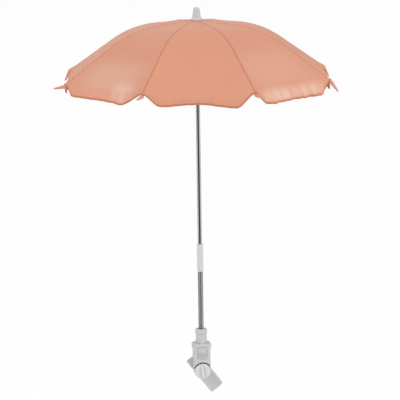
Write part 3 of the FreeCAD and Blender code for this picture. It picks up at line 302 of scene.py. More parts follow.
def moulded_plastic(name, colour, roughness, grain_mm, edge_mm):
    """Injection-moulded plastic: satin, spark-eroded grain, soft edges, and painted shade darkening its
    corners and gaps.
    """
    material, tree, shader = start_material(name, colour, roughness, {"IOR": 1.53})
    place = add(tree, "ShaderNodeTexCoord").outputs["Object"]
    grain = add(tree, "ShaderNodeTexNoise", {"Vector": place, "Scale": noise_scale(grain_mm), "Detail": 2.0})
    flow = add(tree, "ShaderNodeTexNoise", {"Vector": place, "Scale": noise_scale(FLOW_MM),
                                            "Detail": 3.0, "Distortion": 0.6})
    tone = add(tree, "ShaderNodeMix", {"Factor": flow.outputs["Fac"], "A": shade(colour, 0.965),
                                       "B": shade(colour, 1.03)}, data_type="RGBA")
    # painted shade: ambient occlusion darkens the colour in corners and narrow gaps, where shade falls
    corners = add(tree, "ShaderNodeAmbientOcclusion", {"Distance": PAINTED_SHADE_REACH}, samples=8)
    low, high = PAINTED_SHADE_OCCLUSION
    painted_shade_mask = add(tree, "ShaderNodeMapRange", {"Value": corners.outputs["AO"], "From Min": low, "From Max": high,
                                            "To Min": PAINTED_SHADE_STRENGTH, "To Max": 0.0})
    shaded_tone = add(tree, "ShaderNodeMix", {"Factor": painted_shade_mask.outputs["Result"], "A": tone.outputs["Result"],
                                        "B": shade(colour, PAINTED_SHADE_DARKNESS)}, data_type="RGBA")
    sheen = add(tree, "ShaderNodeMapRange", {"Value": flow.outputs["Fac"], "To Min": roughness - 0.05,
                                             "To Max": roughness + 0.07})
    edges = add(tree, "ShaderNodeBevel", {"Radius": edge_mm / MM_PER_METRE}, samples=6)
    bump = add(tree, "ShaderNodeBump", {"Height": grain.outputs["Fac"], "Strength": 0.12, "Distance": 0.0001,
                                        "Normal": edges.outputs["Normal"]})
    set_inputs(tree, shader, {"Base Color": shaded_tone.outputs["Result"], "Roughness": sheen.outputs["Result"],
                              "Normal": bump.outputs["Normal"]})
    return material


def plated_metal(name, colour, roughness, grain_mm, stretch):
    """Plated steel: bright metal, with fine lines along its drawing direction and faint wear."""
    material, tree, shader = start_material(name, colour, roughness, {"Metallic": 1.0})
    place = add(tree, "ShaderNodeTexCoord").outputs["Object"]
    drawn = add(tree, "ShaderNodeMapping", {"Vector": place, "Scale": (1, 1, 1 / stretch)})
    lines = add(tree, "ShaderNodeTexNoise", {"Vector": drawn.outputs["Vector"], "Detail": 3.0,
                                             "Scale": noise_scale(grain_mm)})
    stains = add(tree, "ShaderNodeTexNoise", {"Vector": place, "Scale": noise_scale(STAIN_MM), "Detail": 3.0})
    tone = add(tree, "ShaderNodeMix", {"Factor": stains.outputs["Fac"], "A": shade(colour, 0.93),
                                       "B": shade(colour, 1.05)}, data_type="RGBA")
    wear = add(tree, "ShaderNodeMapRange", {"Value": lines.outputs["Fac"], "To Min": roughness * 0.7,
                                            "To Max": roughness * 1.4})
    bump = add(tree, "ShaderNodeBump", {"Height": lines.outputs["Fac"], "Strength": 0.06, "Distance": 0.0001})
    set_inputs(tree, shader, {"Base Color": tone.outputs["Result"], "Roughness": wear.outputs["Result"],
                              "Normal": bump.outputs["Normal"]})
    return material


def moulded_rubber(name, colour):
    """Moulded rubber: dark and dull, with a pebbled grip."""
    material, tree, shader = start_material(name, colour, 0.78, {"IOR": 1.52})
    place = add(tree, "ShaderNodeTexCoord").outputs["Object"]
    pebbles = add(tree, "ShaderNodeTexVoronoi", {"Vector": place, "Scale": noise_scale(PEBBLE_MM)})
    bloom = add(tree, "ShaderNodeTexNoise", {"Vector": place, "Scale": noise_scale(BLOOM_MM), "Detail": 4.0})
    tone = add(tree, "ShaderNodeMix", {"Factor": bloom.outputs["Fac"], "A": shade(colour, 0.8),
                                       "B": shade(colour, 1.7)}, data_type="RGBA")
    bump = add(tree, "ShaderNodeBump", {"Height": pebbles.outputs["Distance"], "Strength": 0.35,
                                        "Distance": 0.0003})
    set_inputs(tree, shader, {"Base Color": tone.outputs["Result"], "Normal": bump.outputs["Normal"]})
    return material


def finish_nodes(names, material):
    """Give CAD nodes a finish."""
    for name in names:
        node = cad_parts[name]
        node.data.materials.clear()
        node.data.materials.append(material)


def numbered(stem):
    """Names of a piece that each rib has."""
    return [f"{stem}_{index + 1}" for index in range(RIBS)]


# Cloth

def smooth(value):
    """Smooth step from 0 to 1."""
    share = np.clip(value, 0, 1)
    return share * share * (3 - 2 * share)


def rib_height(canopy, radius):
    """Height of the cloth over the hinge ring, above a rib."""
    crown, eave = canopy.crown_slope, canopy.eave_slope
    reach = canopy.bow_bend * math.tan((eave - crown) / 2)
    start = canopy.bow_corner - reach * math.cos(crown)
    end = canopy.bow_corner + reach * math.cos(eave)
    start_height = canopy.crown_top - start * math.tan(crown)
    centre = start - canopy.bow_bend * math.sin(crown)
    centre_height = start_height - canopy.bow_bend * math.cos(crown)
    arc = centre_height + np.sqrt(np.maximum(canopy.bow_bend ** 2 - (radius - centre) ** 2, 0))
    corner_height = canopy.crown_top - canopy.bow_corner * math.tan(crown)
    past = corner_height - (radius - canopy.bow_corner) * math.tan(eave)
    before = canopy.crown_top - radius * math.tan(crown)
    return np.where(radius < start, before, np.where(radius < end, arc, past))


# bands are narrower near the crown and beyond the bow of the ribs, where folding gathers the cloth most
BAND_SHARES = (0, 0.035, 0.075, 0.125, 0.185, 0.26, 0.36, *np.linspace(0.46, 1, 11))
BAND_ROWS = (2, 2, 3, 3, 4, 4, 4) + (3,) * 9 + (7,)
VALANCE_ROWS = 18
# columns beside a seam, which keep to a third of a narrow gore, and those in the rest of half a gore
NEAR_SEAM = (0.0, 0.0007, 0.0014, 0.0022, 0.0032)
NEAR_SEAM_PART = 3
FAR_COLUMNS = 34
# the sag between two ribs grows to its full depth over this share of the radius
SAG_SHARE = 0.8
# bend of the cloth over the rim: at a corner, amid a gore, and how far the change takes
RIM_BEND_CORNER, RIM_BEND_MIDDLE, RIM_BEND_SPREAD = 0.0015, 0.010, 0.06
# tab of cloth at each corner that reaches over the end of its rib
TAB_WIDTH, TAB_LENGTH, TAB_REACH, TAB_RISE = 0.009, 0.016, 0.0050, 0.0019
# the valance: still cloth by a corner, outward belly, roll of the hem, lift of the hem by folds, least depth
CORNER_STILL, VALANCE_BELLY, HEM_ROLL, FOLD_LIFT, LEAST_DEPTH = 0.045, 0.0025, 0.0004, 0.12, 0.0012
# a slanted cut rounds into the hem between these shares of its run; the rim's bend takes a share of the depth
CUT_BEND_START_SHARE, CUT_BEND_END_SHARE, RIM_BEND_SHARE = 0.75, 1.25, 0.8
# the hem is folded over, so thicker by this share; the cloth thins toward the ferrule that holds it
HEM_FOLD_SHARE, CROWN_TAPER, CROWN_THIN_SHARE = 0.8, 0.0055, 0.18
# cloth under the ferrule: hole, gap to the gores, rows, columns; tucks, their depth, drop; no seam is near
CROWN_HOLE, CROWN_GAP, CROWN_ROWS, CROWN_COLUMNS = 0.0049, 0.0002, 8, 97
CROWN_TUCKS, CROWN_TUCK_DEPTH, CROWN_DROP = 24, 0.00012, 0.00015
FAR_FROM_SEAM = 0.05
# values at each point of the cloth: its place, its place in the weave, and its patterns
PLACE, WEAVE_PLACE, PATTERNS = slice(0, 3), slice(3, 5), (5, 6, 7)
PATTERN_NAMES, PATTERN_UNITS = ("seam", "hem", "painted_sheen"), (MM_PER_METRE, MM_PER_METRE, 1)
# by gore: fall, run of the slanted cut at either end, share of the full depth, rise of the middle, lean of
# the hem, depth of wrinkles
VALANCE_FALLS = (78, 80, 77, 80, 82, 79, 68, 82)
VALANCE_RUNS = ((36, 36), (33, 38), (37, 34), (10, 60), (18, 54), (32, 35), (22, 34), (60, 10))
VALANCE_SHARES = (0.95, 0.97, 0.95, 0.94, 0.84, 0.93, 0.91, 0.95)
VALANCE_RISES = (0.12, 0.15, 0.10, 0.13, 0.07, 0.22, 0.04, 0.12)
VALANCE_LEANS = (0.02, -0.04, 0.03, -0.02, 0.06, 0.11, 0.02, 0.03)
VALANCE_PUCKERS = (0.9, 1.1, 0.8, 1.0, 0.9, 1.1, 2.3, 1.2)
# by gore: place along the edge, width and depth of one larger fold
VALANCE_FOLDS = {4: (0.066, 0.026, 0.0045), 5: (0.075, 0.030, 0.0035), 6: (-0.066, 0.020, 0.0060)}
# by gore: paler patches of painted highlight, as place along the edge, height over the rim, half width, half
# height, strength
PAINTED_SHEEN_PATCHES = {
    4: ((0.058, -0.006, 0.031, 0.030, 0.6), (-0.008, 0.034, 0.085, 0.055, 0.36)),
    6: ((-0.055, -0.017, 0.046, 0.018, 1.0), (0.045, -0.015, 0.050, 0.016, 0.8),
        (-0.02, 0.06, 0.10, 0.06, 0.22)),
}
# a patch's edge is harder with a higher power
PATCH_POWER = 3
# streaks in a valance that the painted highlight leaves out: distance and depth
STREAK_SPAN, STREAK_DEPTH = 0.031, 0.18
# wrinkles as waves: span, weight and change of phase from gore to gore
PUCKER_WAVES = ((0.052, 1.0, 2.4), (0.027, 0.7, 1.7), (0.0165, 0.45, 3.1))
# about the sum of the weights, slant of the wrinkles, and how soon below the rim they are at full depth
PUCKER_WEIGHT, PUCKER_SLANT, PUCKER_GROWTH = 2, 1.3, 1.3


def band_radii(canopy):
    """Radii of the rows of cloth from crown to rim, and the rows that bound the bands."""
    span = canopy.radius - canopy.crown_edge
    radii = []
    bounds = [0]
    for low, high, rows in zip(BAND_SHARES, BAND_SHARES[1:], BAND_ROWS):
        radii += list(canopy.crown_edge + span * np.linspace(low, high, rows, endpoint=False))
        bounds.append(len(radii))
    return np.array(radii + [canopy.radius]), bounds


def valance_depth(canopy, gore, side, from_corner):
    """Depth of the valance along one half of a gore: slanted at the corner, raised in the middle."""
    corner_run = VALANCE_RUNS[gore][side > 0] / MM_PER_METRE
    run = from_corner / corner_run
    bent = run - CUT_BEND_START_SHARE
    rounding = np.where(run < CUT_BEND_END_SHARE, CUT_BEND_START_SHARE + bent - bent * bent, 1.0)
    ramp = np.where(run < CUT_BEND_START_SHARE, run, rounding)
    half_edge = canopy.radius * math.sin(HALF_GORE)
    inward = smooth((from_corner - corner_run) / (half_edge - corner_run))
    across = side * (1 - from_corner / half_edge)
    level = 1 - VALANCE_RISES[gore] * inward + VALANCE_LEANS[gore] * across
    return np.maximum(canopy.valance * VALANCE_SHARES[gore] * ramp * level, LEAST_DEPTH)


def wrinkles(canopy, gore, along, fall):
    """Outward wrinkles of a valance by place along its edge and share of its fall."""
    wave = 0
    for span, weight, phase in PUCKER_WAVES:
        wave = wave + weight * np.sin(2 * math.pi * along / span + phase * (gore + 1) + PUCKER_SLANT * fall)
    depth = canopy.pucker * VALANCE_PUCKERS[gore] * wave / PUCKER_WEIGHT
    if gore in VALANCE_FOLDS:
        place, width, height = VALANCE_FOLDS[gore]
        depth = depth + height * np.exp(-((along - place) / width) ** 2)
    return depth * smooth(PUCKER_GROWTH * fall)


def painted_highlight(gore, along, height):
    """Share of painted highlight by place along a gore's edge and height over its rim."""
    share = np.zeros_like(along)
    for place, level, width, tall, strength in PAINTED_SHEEN_PATCHES.get(gore, ()):
        sideways = np.abs((along - place) / width) ** PATCH_POWER
        upward = np.abs((height - level) / tall) ** PATCH_POWER
        share = share + strength * np.exp(-sideways - upward)
    streaks = STREAK_DEPTH * (1 - np.cos(2 * math.pi * along / STREAK_SPAN)) * (height < 0)
    return np.minimum(share, 1) * (1 - streaks)


def half_columns(half_edge):
    """Distances from the rib of the columns of cloth in half a gore."""
    near = np.array(NEAR_SEAM) * min(1.0, half_edge / (NEAR_SEAM_PART * NEAR_SEAM[-1]))
    far = near[-1] + (half_edge - near[-1]) * np.linspace(0, 1, FAR_COLUMNS + 1)[1:]
    return np.concatenate([near, far])


def sag(canopy, radius, columns):
    """Dip of the cloth between two ribs."""
    half_edge = radius * math.sin(HALF_GORE)
    spread = smooth((radius - canopy.crown_edge) / (SAG_SHARE * canopy.radius))
    return canopy.sag * spread * (1 - (1 - columns / half_edge) ** 2)


def gore_section(canopy, gore, side, radii):
    """Rows of half a gore: outward place, height, sideways place, travel, seam, hem and painted highlight."""
    eave = math.atan(math.tan(canopy.eave_slope) / math.cos(HALF_GORE))
    heights = rib_height(canopy, radii)
    rim_edge = canopy.radius * math.sin(HALF_GORE)
    rim_columns = half_columns(rim_edge)
    depth = valance_depth(canopy, gore, side, rim_columns)
    upper_bend = RIM_BEND_CORNER + (RIM_BEND_MIDDLE - RIM_BEND_CORNER) * smooth(rim_columns / RIM_BEND_SPREAD)
    lower_bend = np.minimum(upper_bend, RIM_BEND_SHARE * depth)
    rim = np.array([canopy.radius * math.cos(HALF_GORE), heights[-1]])
    along_eave = np.array([math.cos(eave), -math.sin(eave)])
    fall_slope = math.radians(VALANCE_FALLS[gore])
    along_fall = np.array([math.cos(fall_slope), -math.sin(fall_slope)])
    off_eave = np.array([math.sin(eave), math.cos(eave)])
    tab = (1 - smooth(rim_columns / TAB_WIDTH))[:, None] * (TAB_REACH * along_eave + TAB_RISE * off_eave)

    def rounded(share):
        """Places on the rounded bend at the rim."""
        fall, rise = share[:, None] ** 2, (1 - share[:, None]) ** 2
        return rim + fall * along_fall * lower_bend[:, None] - rise * along_eave * upper_bend[:, None]

    rows = []
    travel = 0.0
    last = None
    for radius, height in zip(radii, heights):
        half_edge = radius * math.sin(HALF_GORE)
        columns = half_columns(half_edge)
        level = np.array([radius * math.cos(HALF_GORE), height])
        travel += 0.0 if last is None else float(np.linalg.norm(level - last))
        last = level
        above = float(np.linalg.norm(rim - level))
        bent = rounded(np.clip(0.5 - 0.5 * above / upper_bend, 0, 1))
        place = np.where((above < upper_bend)[:, None], bent, level)
        seam_lift = canopy.seam_lift * (1 - smooth(columns / NEAR_SEAM[-1]))
        place = place + seam_lift[:, None] * off_eave
        place = place + tab * smooth(1 - above / TAB_LENGTH)
        across = side * (half_edge - columns)
        rows.append((place[:, 0], place[:, 1] - sag(canopy, radius, columns), across,
                     travel + 0 * columns, columns, depth + above, painted_highlight(gore, across, above)))
    corner = smooth(rim_columns / CORNER_STILL)
    across = side * (rim_edge - rim_columns)
    for share in np.linspace(0, 1, VALANCE_ROWS + 1)[1:]:
        drop = share * depth
        bent = rounded(np.clip(0.5 + 0.5 * drop / lower_bend, 0, 1))
        place = np.where((drop < lower_bend)[:, None], bent, rim + along_fall * drop[:, None])
        fold = corner * wrinkles(canopy, gore, across, share)
        belly = VALANCE_BELLY * corner * math.sin(math.pi * share)
        hem_roll = HEM_ROLL * (depth - drop < canopy.hem)
        out = place[:, 0] + tab[:, 0] + fold + belly + hem_roll
        up = place[:, 1] + tab[:, 1] - sag(canopy, canopy.radius, rim_columns) - FOLD_LIFT * np.abs(fold)
        rows.append((out, up, across, travel + drop, rim_columns, depth - drop, painted_highlight(gore, across, -drop)))
    return rows


def canopy_grid(canopy):
    """The whole cloth as rows round the pole: places, outward normals, patterns and the bands' rows."""
    radii, bounds = band_radii(canopy)
    gores = []
    for gore in range(RIBS):
        azimuth = canopy.first_rib + HALF_GORE * (2 * gore + 1)
        left = gore_section(canopy, gore, -1, radii)
        right = gore_section(canopy, gore, 1, radii)
        rows = []
        for one, other in zip(left, right):
            out, up, *pattern = [np.concatenate([a, b[-2::-1]]) for a, b in zip(one, other)]
            across = pattern[0]
            x = POLE_AXIS.x + out * math.cos(azimuth) - across * math.sin(azimuth)
            y = POLE_AXIS.y + out * math.sin(azimuth) + across * math.cos(azimuth)
            rows.append(np.stack([x, y, CROWN + up, *pattern], axis=-1))
        gores.append(np.stack(rows))
    ring = np.concatenate([gore[:, :-1] for gore in gores], axis=1)
    points = ring[:, :, PLACE]
    across = np.roll(points, -1, axis=1) - np.roll(points, 1, axis=1)
    along = np.gradient(points, axis=0)
    normals = np.cross(across, along)
    normals /= np.linalg.norm(normals, axis=2, keepdims=True)
    if normals[0, :, 2].mean() < 0:
        normals = -normals
    return gores, ring, normals, bounds


def sheet_mesh(name, points, normals, thickness, uv_left, uv_right, pattern):
    """Closed thin sheet from a grid of places, with the pattern of the gore on each side of its seam."""
    rows, columns = points.shape[:2]
    count = rows * columns
    inner = points - normals * thickness[:, :, None]
    places = np.concatenate([points.reshape(-1, 3), inner.reshape(-1, 3)])
    flat = normals.reshape(-1, 3)
    seam_column = columns // 2
    faces, corner_uvs, corner_normals = [], [], []

    def quad(indices, column, outward):
        source = uv_left if column < seam_column else uv_right
        faces.append(indices)
        for index in indices:
            grid = index % count
            corner_uvs.append(source[grid // columns, grid % columns])
            corner_normals.append(flat[grid] * outward if outward else (0.0, 0.0, 0.0))

    for row in range(rows - 1):
        for column in range(columns - 1):
            first = row * columns + column
            ring = (first, first + columns, first + columns + 1, first + 1)
            quad(ring, column, 1)
            quad(tuple(index + count for index in reversed(ring)), column, -1)
    for row in range(rows - 1):
        for column, turn in ((0, 1), (columns - 1, -1)):
            first = row * columns + column
            wall = (first, first + count, first + columns + count, first + columns)
            quad(wall[::turn], min(column, columns - 2), 0)
    for column in range(columns - 1):
        for row, turn in ((0, -1), (rows - 1, 1)):
            first = row * columns + column
            wall = (first, first + count, first + 1 + count, first + 1)
            quad(wall[::turn], column, 0)
    mesh = bpy.data.meshes.new(name)
    mesh.from_pydata(places.tolist(), [], faces)
    layer = mesh.uv_layers.new(name="cloth")
    layer.data.foreach_set("uv", np.array(corner_uvs, np.float32).ravel())
    for title, unit, values in zip(PATTERN_NAMES, PATTERN_UNITS, pattern):
        attribute = mesh.attributes.new(title, "FLOAT", "POINT")
        doubled = np.concatenate([values.ravel(), values.ravel()]) * unit
        attribute.data.foreach_set("value", doubled.astype(np.float32))
    mesh.update()
    for polygon in mesh.polygons:
        polygon.use_smooth = True
        for loop in polygon.loop_indices:
            if not np.any(corner_normals[loop]):
                corner_normals[loop] = tuple(polygon.normal)
    mesh.normals_split_custom_set([tuple(normal) for normal in corner_normals])
    piece = bpy.data.objects.new(name, mesh)
    bpy.context.scene.collection.objects.link(piece)
    return piece


class PARASOL_OT_canopy(bpy.types.Operator):
    """Make the cloth: for each rib a chain of bands and a valance, sewn along the ribs"""
    bl_idname = "parasol.canopy"
    bl_label = "Canopy cloth"

    def execute(self, context):
        canopy = settings().canopy
        material = woven_polyester("woven_polyester_coral", settings().colours)
        gores, ring, normals, bounds = canopy_grid(canopy)
        half = (gores[0].shape[1] - 1) // 2
        rows, total = ring.shape[:2]
        spans = list(zip(bounds, bounds[1:])) + [(bounds[-1], rows - 1)]
        for rib in range(RIBS):
            picks = [(rib * 2 * half + offset) % total for offset in range(-half, half + 1)]
            before, after = gores[rib - 1], gores[rib]
            for band, (low, high) in enumerate(spans):
                valance = band == len(spans) - 1
                part = slice(low, high + 1)
                points = ring[part][:, picks, PLACE]
                pattern = [ring[part][:, picks, column] for column in PATTERNS]
                uv_left = np.zeros(points.shape[:2] + (2,))
                uv_right = np.zeros_like(uv_left)
                uv_left[:, :half + 1] = before[part][:, half:, WEAVE_PLACE]
                uv_right[:, half:] = after[part][:, :half + 1, WEAVE_PLACE]
                from_crown = np.hypot(points[:, :, 0] - POLE_AXIS.x, points[:, :, 1] - POLE_AXIS.y)
                from_crown -= canopy.crown_edge * math.cos(HALF_GORE)
                taper = np.clip(from_crown / CROWN_TAPER, CROWN_THIN_SHARE, 1)
                thickness = canopy.thickness * taper * (1 + HEM_FOLD_SHARE * (pattern[1] < canopy.hem))
                name = f"valance_{rib + 1}" if valance else f"cloth_{rib + 1}_{band + 1}"
                piece = sheet_mesh(name, points, normals[part][:, picks], thickness, uv_left, uv_right,
                                   pattern)
                piece.data.materials.append(material)
                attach(piece, f"rib_arm_{rib + 1}")
                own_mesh(piece)
                if band == 0:
                    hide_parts(f"canopy_cloth_{rib + 1}")
        self.crown(canopy, material)
        return {"FINISHED"}

    def crown(self, canopy, material):
        """Middle of the cloth, gathered under the ferrule."""
        radii = np.linspace(CROWN_HOLE, canopy.crown_edge - CROWN_GAP, CROWN_ROWS)
        angles = np.linspace(0, 2 * math.pi, CROWN_COLUMNS)
        tuck = CROWN_TUCK_DEPTH * np.sin(CROWN_TUCKS * angles)
        out = radii[:, None] * np.ones_like(angles)
        up = canopy.crown_top - out * math.tan(canopy.crown_slope) + tuck - CROWN_DROP
        uv = np.stack([out * np.cos(angles), out * np.sin(angles)], -1)
        points = np.stack([POLE_AXIS.x + uv[:, :, 0], POLE_AXIS.y + uv[:, :, 1], CROWN + up], -1)
        normals = np.zeros_like(points)
        normals[:, :, 2] = 1
        far = np.full(points.shape[:2], FAR_FROM_SEAM)
        thickness = np.full(points.shape[:2], canopy.thickness)
        piece = sheet_mesh("cloth_crown", points[:, ::-1], normals, thickness, uv[:, ::-1], uv[:, ::-1],
                           (far, far, np.zeros_like(far)))
        piece.data.materials.append(material)
        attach(piece, "pole")
        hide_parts("canopy_crown")


# Gooseneck, spring and finishes

WIRE_SIDES, STEPS_PER_TURN = 10, 24
MERGE_DISTANCE = 0.00001


class PARASOL_OT_gooseneck(bpy.types.Operator):
    """Wind the gooseneck's wire, one winding between each two of its links"""
    bl_idname = "parasol.gooseneck"
    bl_label = "Gooseneck winding"

    def execute(self, context):
        neck = settings().neck
        material = plated_metal("nickel_plated_spring_wire", settings().colours.winding, roughness=0.3,
                                grain_mm=0.5, stretch=1)
        bodies = ["neck_foot", "neck_link_2", "neck_link_3", "pole"]
        span = (SLEEVE_LOW - COLLAR_TOP) / (len(bodies) - 1)
        pitch = span / neck.turns
        mean = (neck.outer - neck.wire) / 2
        for index, (lower, upper) in enumerate(zip(bodies, bodies[1:])):
            start = COLLAR_TOP + span * index
            first = index == 0
            last = index == len(bodies) - 2
            extra = neck.end_turns * (first + last)
            low = start - first * neck.end_turns * pitch
            bpy.ops.mesh.primitive_circle_add(vertices=WIRE_SIDES, radius=neck.wire / 2,
                                              location=(mean, 0, 0), rotation=(math.pi / 2, 0, 0))
            piece = context.active_object
            piece.name = f"neck_winding_{index + 1}"
            bpy.ops.object.transform_apply(location=True, rotation=True, scale=False)
            screw = piece.modifiers.new("winding", "SCREW")
            screw.axis = "Z"
            screw.angle = 2 * math.pi
            screw.screw_offset = pitch
            screw.iterations = neck.turns + extra
            screw.steps = STEPS_PER_TURN
            screw.render_steps = STEPS_PER_TURN
            screw.use_smooth_shade = True
            bpy.ops.object.modifier_apply(modifier=screw.name)
            bpy.ops.object.mode_set(mode="EDIT")
            bpy.ops.mesh.select_all(action="SELECT")
            bpy.ops.mesh.normals_make_consistent(inside=False)
            bpy.ops.transform.translate(value=(POLE_AXIS.x, POLE_AXIS.y, low))
            bpy.ops.mesh.select_all(action="DESELECT")
            bpy.ops.mesh.select_non_manifold()
            bpy.ops.mesh.edge_face_add()
            bpy.ops.object.mode_set(mode="OBJECT")
            piece.data.materials.append(material)
            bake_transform(piece)
            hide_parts(f"neck_coil_{index + 1}")
            if last:
                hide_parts(f"neck_coil_{index + 2}")
        return {"FINISHED"}


class PARASOL_OT_button_spring(bpy.types.Operator):
    """Put a spring behind the release button, on the socket"""
    bl_idname = "parasol.button_spring"
    bl_label = "Button spring"

    def execute(self, context):
        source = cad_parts["button_spring"]
        bpy.ops.object.select_all(action="DESELECT")
        piece = bpy.data.objects.new("button_coil", source.data.copy())
        context.scene.collection.objects.link(piece)
        context.view_layer.objects.active = piece
        piece.select_set(True)
        bpy.ops.object.mode_set(mode="EDIT")
        bpy.ops.mesh.select_all(action="SELECT")
        bpy.ops.mesh.remove_doubles(threshold=MERGE_DISTANCE)
        bpy.ops.object.mode_set(mode="OBJECT")
        piece.data.materials.clear()
        piece.data.materials.append(bpy.data.materials["zinc_plated_steel"])
        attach(piece, "socket")
        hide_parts("button_spring")
        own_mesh(piece)
        return {"FINISHED"}


class PARASOL_OT_frame_finish(bpy.types.Operator):
    """Finish the pole, ribs, stretchers, hubs and tips"""
    bl_idname = "parasol.frame_finish"
    bl_label = "Canopy frame finish"

    def execute(self, context):
        colours = settings().colours
        white = moulded_plastic("moulded_abs_white", colours.white, roughness=0.42, grain_mm=0.5, edge_mm=0.7)
        steel = plated_metal("zinc_plated_steel", colours.steel, roughness=0.34, grain_mm=0.8, stretch=6)
        sleeve = moulded_plastic("extruded_pvc_white", colours.sleeve, roughness=0.3, grain_mm=0.8,
                                 edge_mm=0.6)
        chrome = plated_metal("chrome_plated_steel", colours.chrome, roughness=0.09, grain_mm=0.6, stretch=30)
        coral = moulded_plastic("moulded_abs_coral", colours.tips, roughness=0.45, grain_mm=0.5, edge_mm=0.5)
        finish_nodes(["ferrule", "top_notch", "runner"], white)
        finish_nodes(["neck_sleeve"], sleeve)
        finish_nodes(numbered("rib") + numbered("stretcher"), steel)
        finish_nodes(["notch_wire", "runner_wire", "catch_spring", "clamp_screw"], steel)
        finish_nodes(["pole_tube"], chrome)
        finish_nodes(numbered("rib_tip"), coral)
        return {"FINISHED"}


class PARASOL_OT_clamp_finish(bpy.types.Operator):
    """Finish the socket block, its button, the knob and the clamp"""
    bl_idname = "parasol.clamp_finish"
    bl_label = "Clamp finish"

    def execute(self, context):
        colours = settings().colours
        white = bpy.data.materials["moulded_abs_white"]
        grey = moulded_plastic("moulded_nylon_grey", colours.grey, roughness=0.5, grain_mm=0.4, edge_mm=0.4)
        knob = moulded_plastic("polished_abs_white", colours.knob, roughness=0.28, grain_mm=0.5, edge_mm=0.7)
        finish_nodes(["socket_housing", "socket_collar", "release_button", "clamp_hook"], white)
        finish_nodes(["tilt_knob"], knob)
        finish_nodes(["neck_plug", "pressure_pad", "friction_washer"], grey)
        finish_nodes(["grip_liner"], moulded_rubber("moulded_rubber_black", colours.rubber))
        return {"FINISHED"}


# Studio

FLOOR_SIZE = 80
PAPER_WHITE, PAPER_ROUGHNESS = 0.97, 0.9
# share of plain white in the floor that the camera sees; the rest shows the shadow
PAPER_GLOW_SHARE = 0.96
SURROUND_LIGHT = 0.58
CURTAIN_DEGREES = (-42, -9, 26, 130, 180, 230)
CURTAIN_REACH, CURTAIN_WIDTH, CURTAIN_HEIGHT, CURTAIN_MIDDLE = 3.0, 1.85, 6.0, 0.3
CURTAIN_GREY = 0.07
LAMP_AIM_HEIGHT = 0.45
SENSOR_MM, CLIP_END = 36, 200
# name, place, size and power
LAMPS = (("left", (-2.75, -1.95, 2.3), 2.2, 60), ("right", (2.75, -1.85, 2.2), 2.2, 62),
         ("back", (-0.4, 3.4, 2.2), 2.2, 34))


def showing_ray(tree):
    """Socket that is 1 for rays that show the studio: to the camera, in gloss and through glass."""
    path = add(tree, "ShaderNodeLightPath")
    seen = add(tree, "ShaderNodeMath", {0: path.outputs["Is Camera Ray"], 1: path.outputs["Is Glossy Ray"]},
               operation="MAXIMUM")
    through = add(tree, "ShaderNodeMath", {0: seen.outputs[0], 1: path.outputs["Is Transmission Ray"]},
                  operation="MAXIMUM")
    return through.outputs[0]


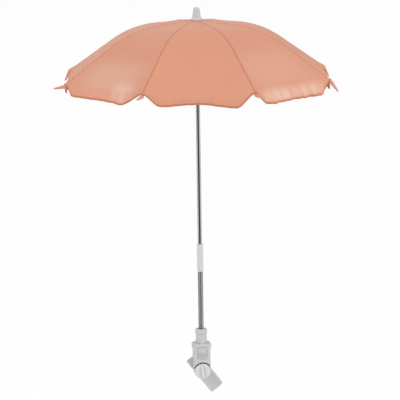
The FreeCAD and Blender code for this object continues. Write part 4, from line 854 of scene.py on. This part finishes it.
class PARASOL_OT_stage(bpy.types.Operator):
    """Set the floor, the curtains, the light and the camera"""
    bl_idname = "parasol.stage"
    bl_label = "Studio"

    def execute(self, context):
        studio = settings().studio
        self.floor(studio)
        self.curtains()
        self.light()
        self.camera(context, studio)
        return {"FINISHED"}

    def floor(self, studio):
        """Pale paper floor that shows a faint shadow."""
        bpy.ops.mesh.primitive_plane_add(size=FLOOR_SIZE, location=(0, 0, -studio.floor_drop))
        floor = bpy.context.active_object
        floor.name = "studio_floor"
        material, tree, shader = start_material("studio_paper", (PAPER_WHITE,) * 3, PAPER_ROUGHNESS)
        share = add(tree, "ShaderNodeMath", {0: showing_ray(tree), 1: PAPER_GLOW_SHARE}, operation="MULTIPLY")
        white = add(tree, "ShaderNodeEmission", {"Color": (1, 1, 1, 1), "Strength": 1.0})
        mixed = add(tree, "ShaderNodeMixShader", {0: share.outputs[0], 1: shader.outputs["BSDF"],
                                                  2: white.outputs["Emission"]})
        # from below the paper is clear, so that the underside can be looked at
        side = add(tree, "ShaderNodeNewGeometry")
        clear = add(tree, "ShaderNodeBsdfTransparent")
        one_way = add(tree, "ShaderNodeMixShader", {0: side.outputs["Backfacing"], 1: mixed.outputs["Shader"],
                                                    2: clear.outputs["BSDF"]})
        tree.links.new(one_way.outputs["Shader"], tree.nodes["Material Output"].inputs["Surface"])
        floor.data.materials.append(material)

    def curtains(self):
        """Dark curtains round the part, which only gloss and metal mirror."""
        dark, _, _ = start_material("studio_curtain", (CURTAIN_GREY,) * 3, 1.0)
        for index, degrees in enumerate(CURTAIN_DEGREES):
            angle = math.radians(degrees)
            place = (CURTAIN_REACH * math.sin(angle), -CURTAIN_REACH * math.cos(angle), CURTAIN_MIDDLE)
            bpy.ops.mesh.primitive_plane_add(size=1, location=place, rotation=(math.pi / 2, 0, angle))
            curtain = bpy.context.active_object
            curtain.name = f"studio_curtain_{index + 1}"
            curtain.scale = (CURTAIN_WIDTH, CURTAIN_HEIGHT, 1)
            curtain.visible_camera = False
            curtain.visible_diffuse = False
            curtain.visible_shadow = False
            curtain.data.materials.append(dark)

    def light(self):
        """Even white surroundings, large soft lamps at the left and right and a weaker one behind."""
        scene = bpy.context.scene
        scene.view_settings.view_transform = "Standard"
        world = bpy.data.worlds.new("studio")
        scene.world = world
        world.use_nodes = True
        tree = world.node_tree
        strength = add(tree, "ShaderNodeMapRange", {"Value": showing_ray(tree), "To Min": SURROUND_LIGHT,
                                                    "To Max": 1.0})
        background = tree.nodes["Background"]
        background.inputs["Color"].default_value = (1, 1, 1, 1)
        tree.links.new(strength.outputs["Result"], background.inputs["Strength"])
        for name, place, size, power in LAMPS:
            lamp = bpy.data.lights.new(f"studio_{name}", "AREA")
            lamp.shape = "DISK"
            lamp.size = size
            lamp.energy = power
            holder = bpy.data.objects.new(f"studio_{name}", lamp)
            scene.collection.objects.link(holder)
            holder.location = place
            aim = Vector((0, POLE_AXIS.y, LAMP_AIM_HEIGHT)) - Vector(place)
            holder.rotation_euler = aim.to_track_quat("-Z", "Y").to_euler()
            holder.visible_camera = False

    def camera(self, context, studio):
        """Camera at the photograph's angle."""
        camera = bpy.data.cameras.new("studio_camera")
        camera.lens = studio.lens
        camera.sensor_width = SENSOR_MM
        camera.dof.use_dof = False
        camera.clip_end = CLIP_END
        holder = bpy.data.objects.new("studio_camera", camera)
        context.scene.collection.objects.link(holder)
        azimuth, elevation = studio.azimuth, studio.elevation
        back = Vector((math.sin(azimuth) * math.cos(elevation), -math.cos(azimuth) * math.cos(elevation),
                       math.sin(elevation)))
        aim = Vector((studio.aim_side, POLE_AXIS.y, studio.aim_height))
        turn = (-back).to_track_quat("-Z", "Y").to_matrix() @ Matrix.Rotation(-studio.roll, 3, "Z")
        holder.matrix_world = Matrix.Translation(aim + back * studio.distance) @ turn.to_4x4()
        context.scene.camera = holder


class PARASOL_PT_panel(bpy.types.Panel):
    """Sidebar panel of the parasol"""
    bl_idname = "PARASOL_PT_panel"
    bl_label = "Pram parasol"
    bl_space_type = "VIEW_3D"
    bl_region_type = "UI"
    bl_category = "Parasol"

    def draw(self, context):
        for operator in OPERATORS:
            self.layout.operator(operator.bl_idname)
        for group in ("canopy", "neck", "colours", "studio"):
            values = getattr(context.scene.parasol, group)
            box = self.layout.box()
            for name in values.__annotations__:
                box.prop(values, name)


GROUPS = (ParasolCanopy, ParasolNeck, ParasolColours, ParasolStudio, ParasolSettings)
OPERATORS = (PARASOL_OT_frame_finish, PARASOL_OT_clamp_finish, PARASOL_OT_canopy, PARASOL_OT_gooseneck,
             PARASOL_OT_button_spring, PARASOL_OT_stage)
CLASSES = (*GROUPS, *OPERATORS, PARASOL_PT_panel)


def register():
    """Register the parasol's settings, operators and panel."""
    for item in CLASSES:
        bpy.utils.register_class(item)
    bpy.types.Scene.parasol = PointerProperty(type=ParasolSettings)


def unregister():
    """Take the parasol's settings, operators and panel out again."""
    del bpy.types.Scene.parasol
    for item in reversed(CLASSES):
        bpy.utils.unregister_class(item)


def main():
    """Build the parasol: finishes, cloth, gooseneck, button spring and studio."""
    register()
    bpy.ops.parasol.frame_finish()
    bpy.ops.parasol.clamp_finish()
    bpy.ops.parasol.canopy()
    bpy.ops.parasol.gooseneck()
    bpy.ops.parasol.button_spring()
    bpy.ops.parasol.stage()


if __name__ == "__main__":
    main()
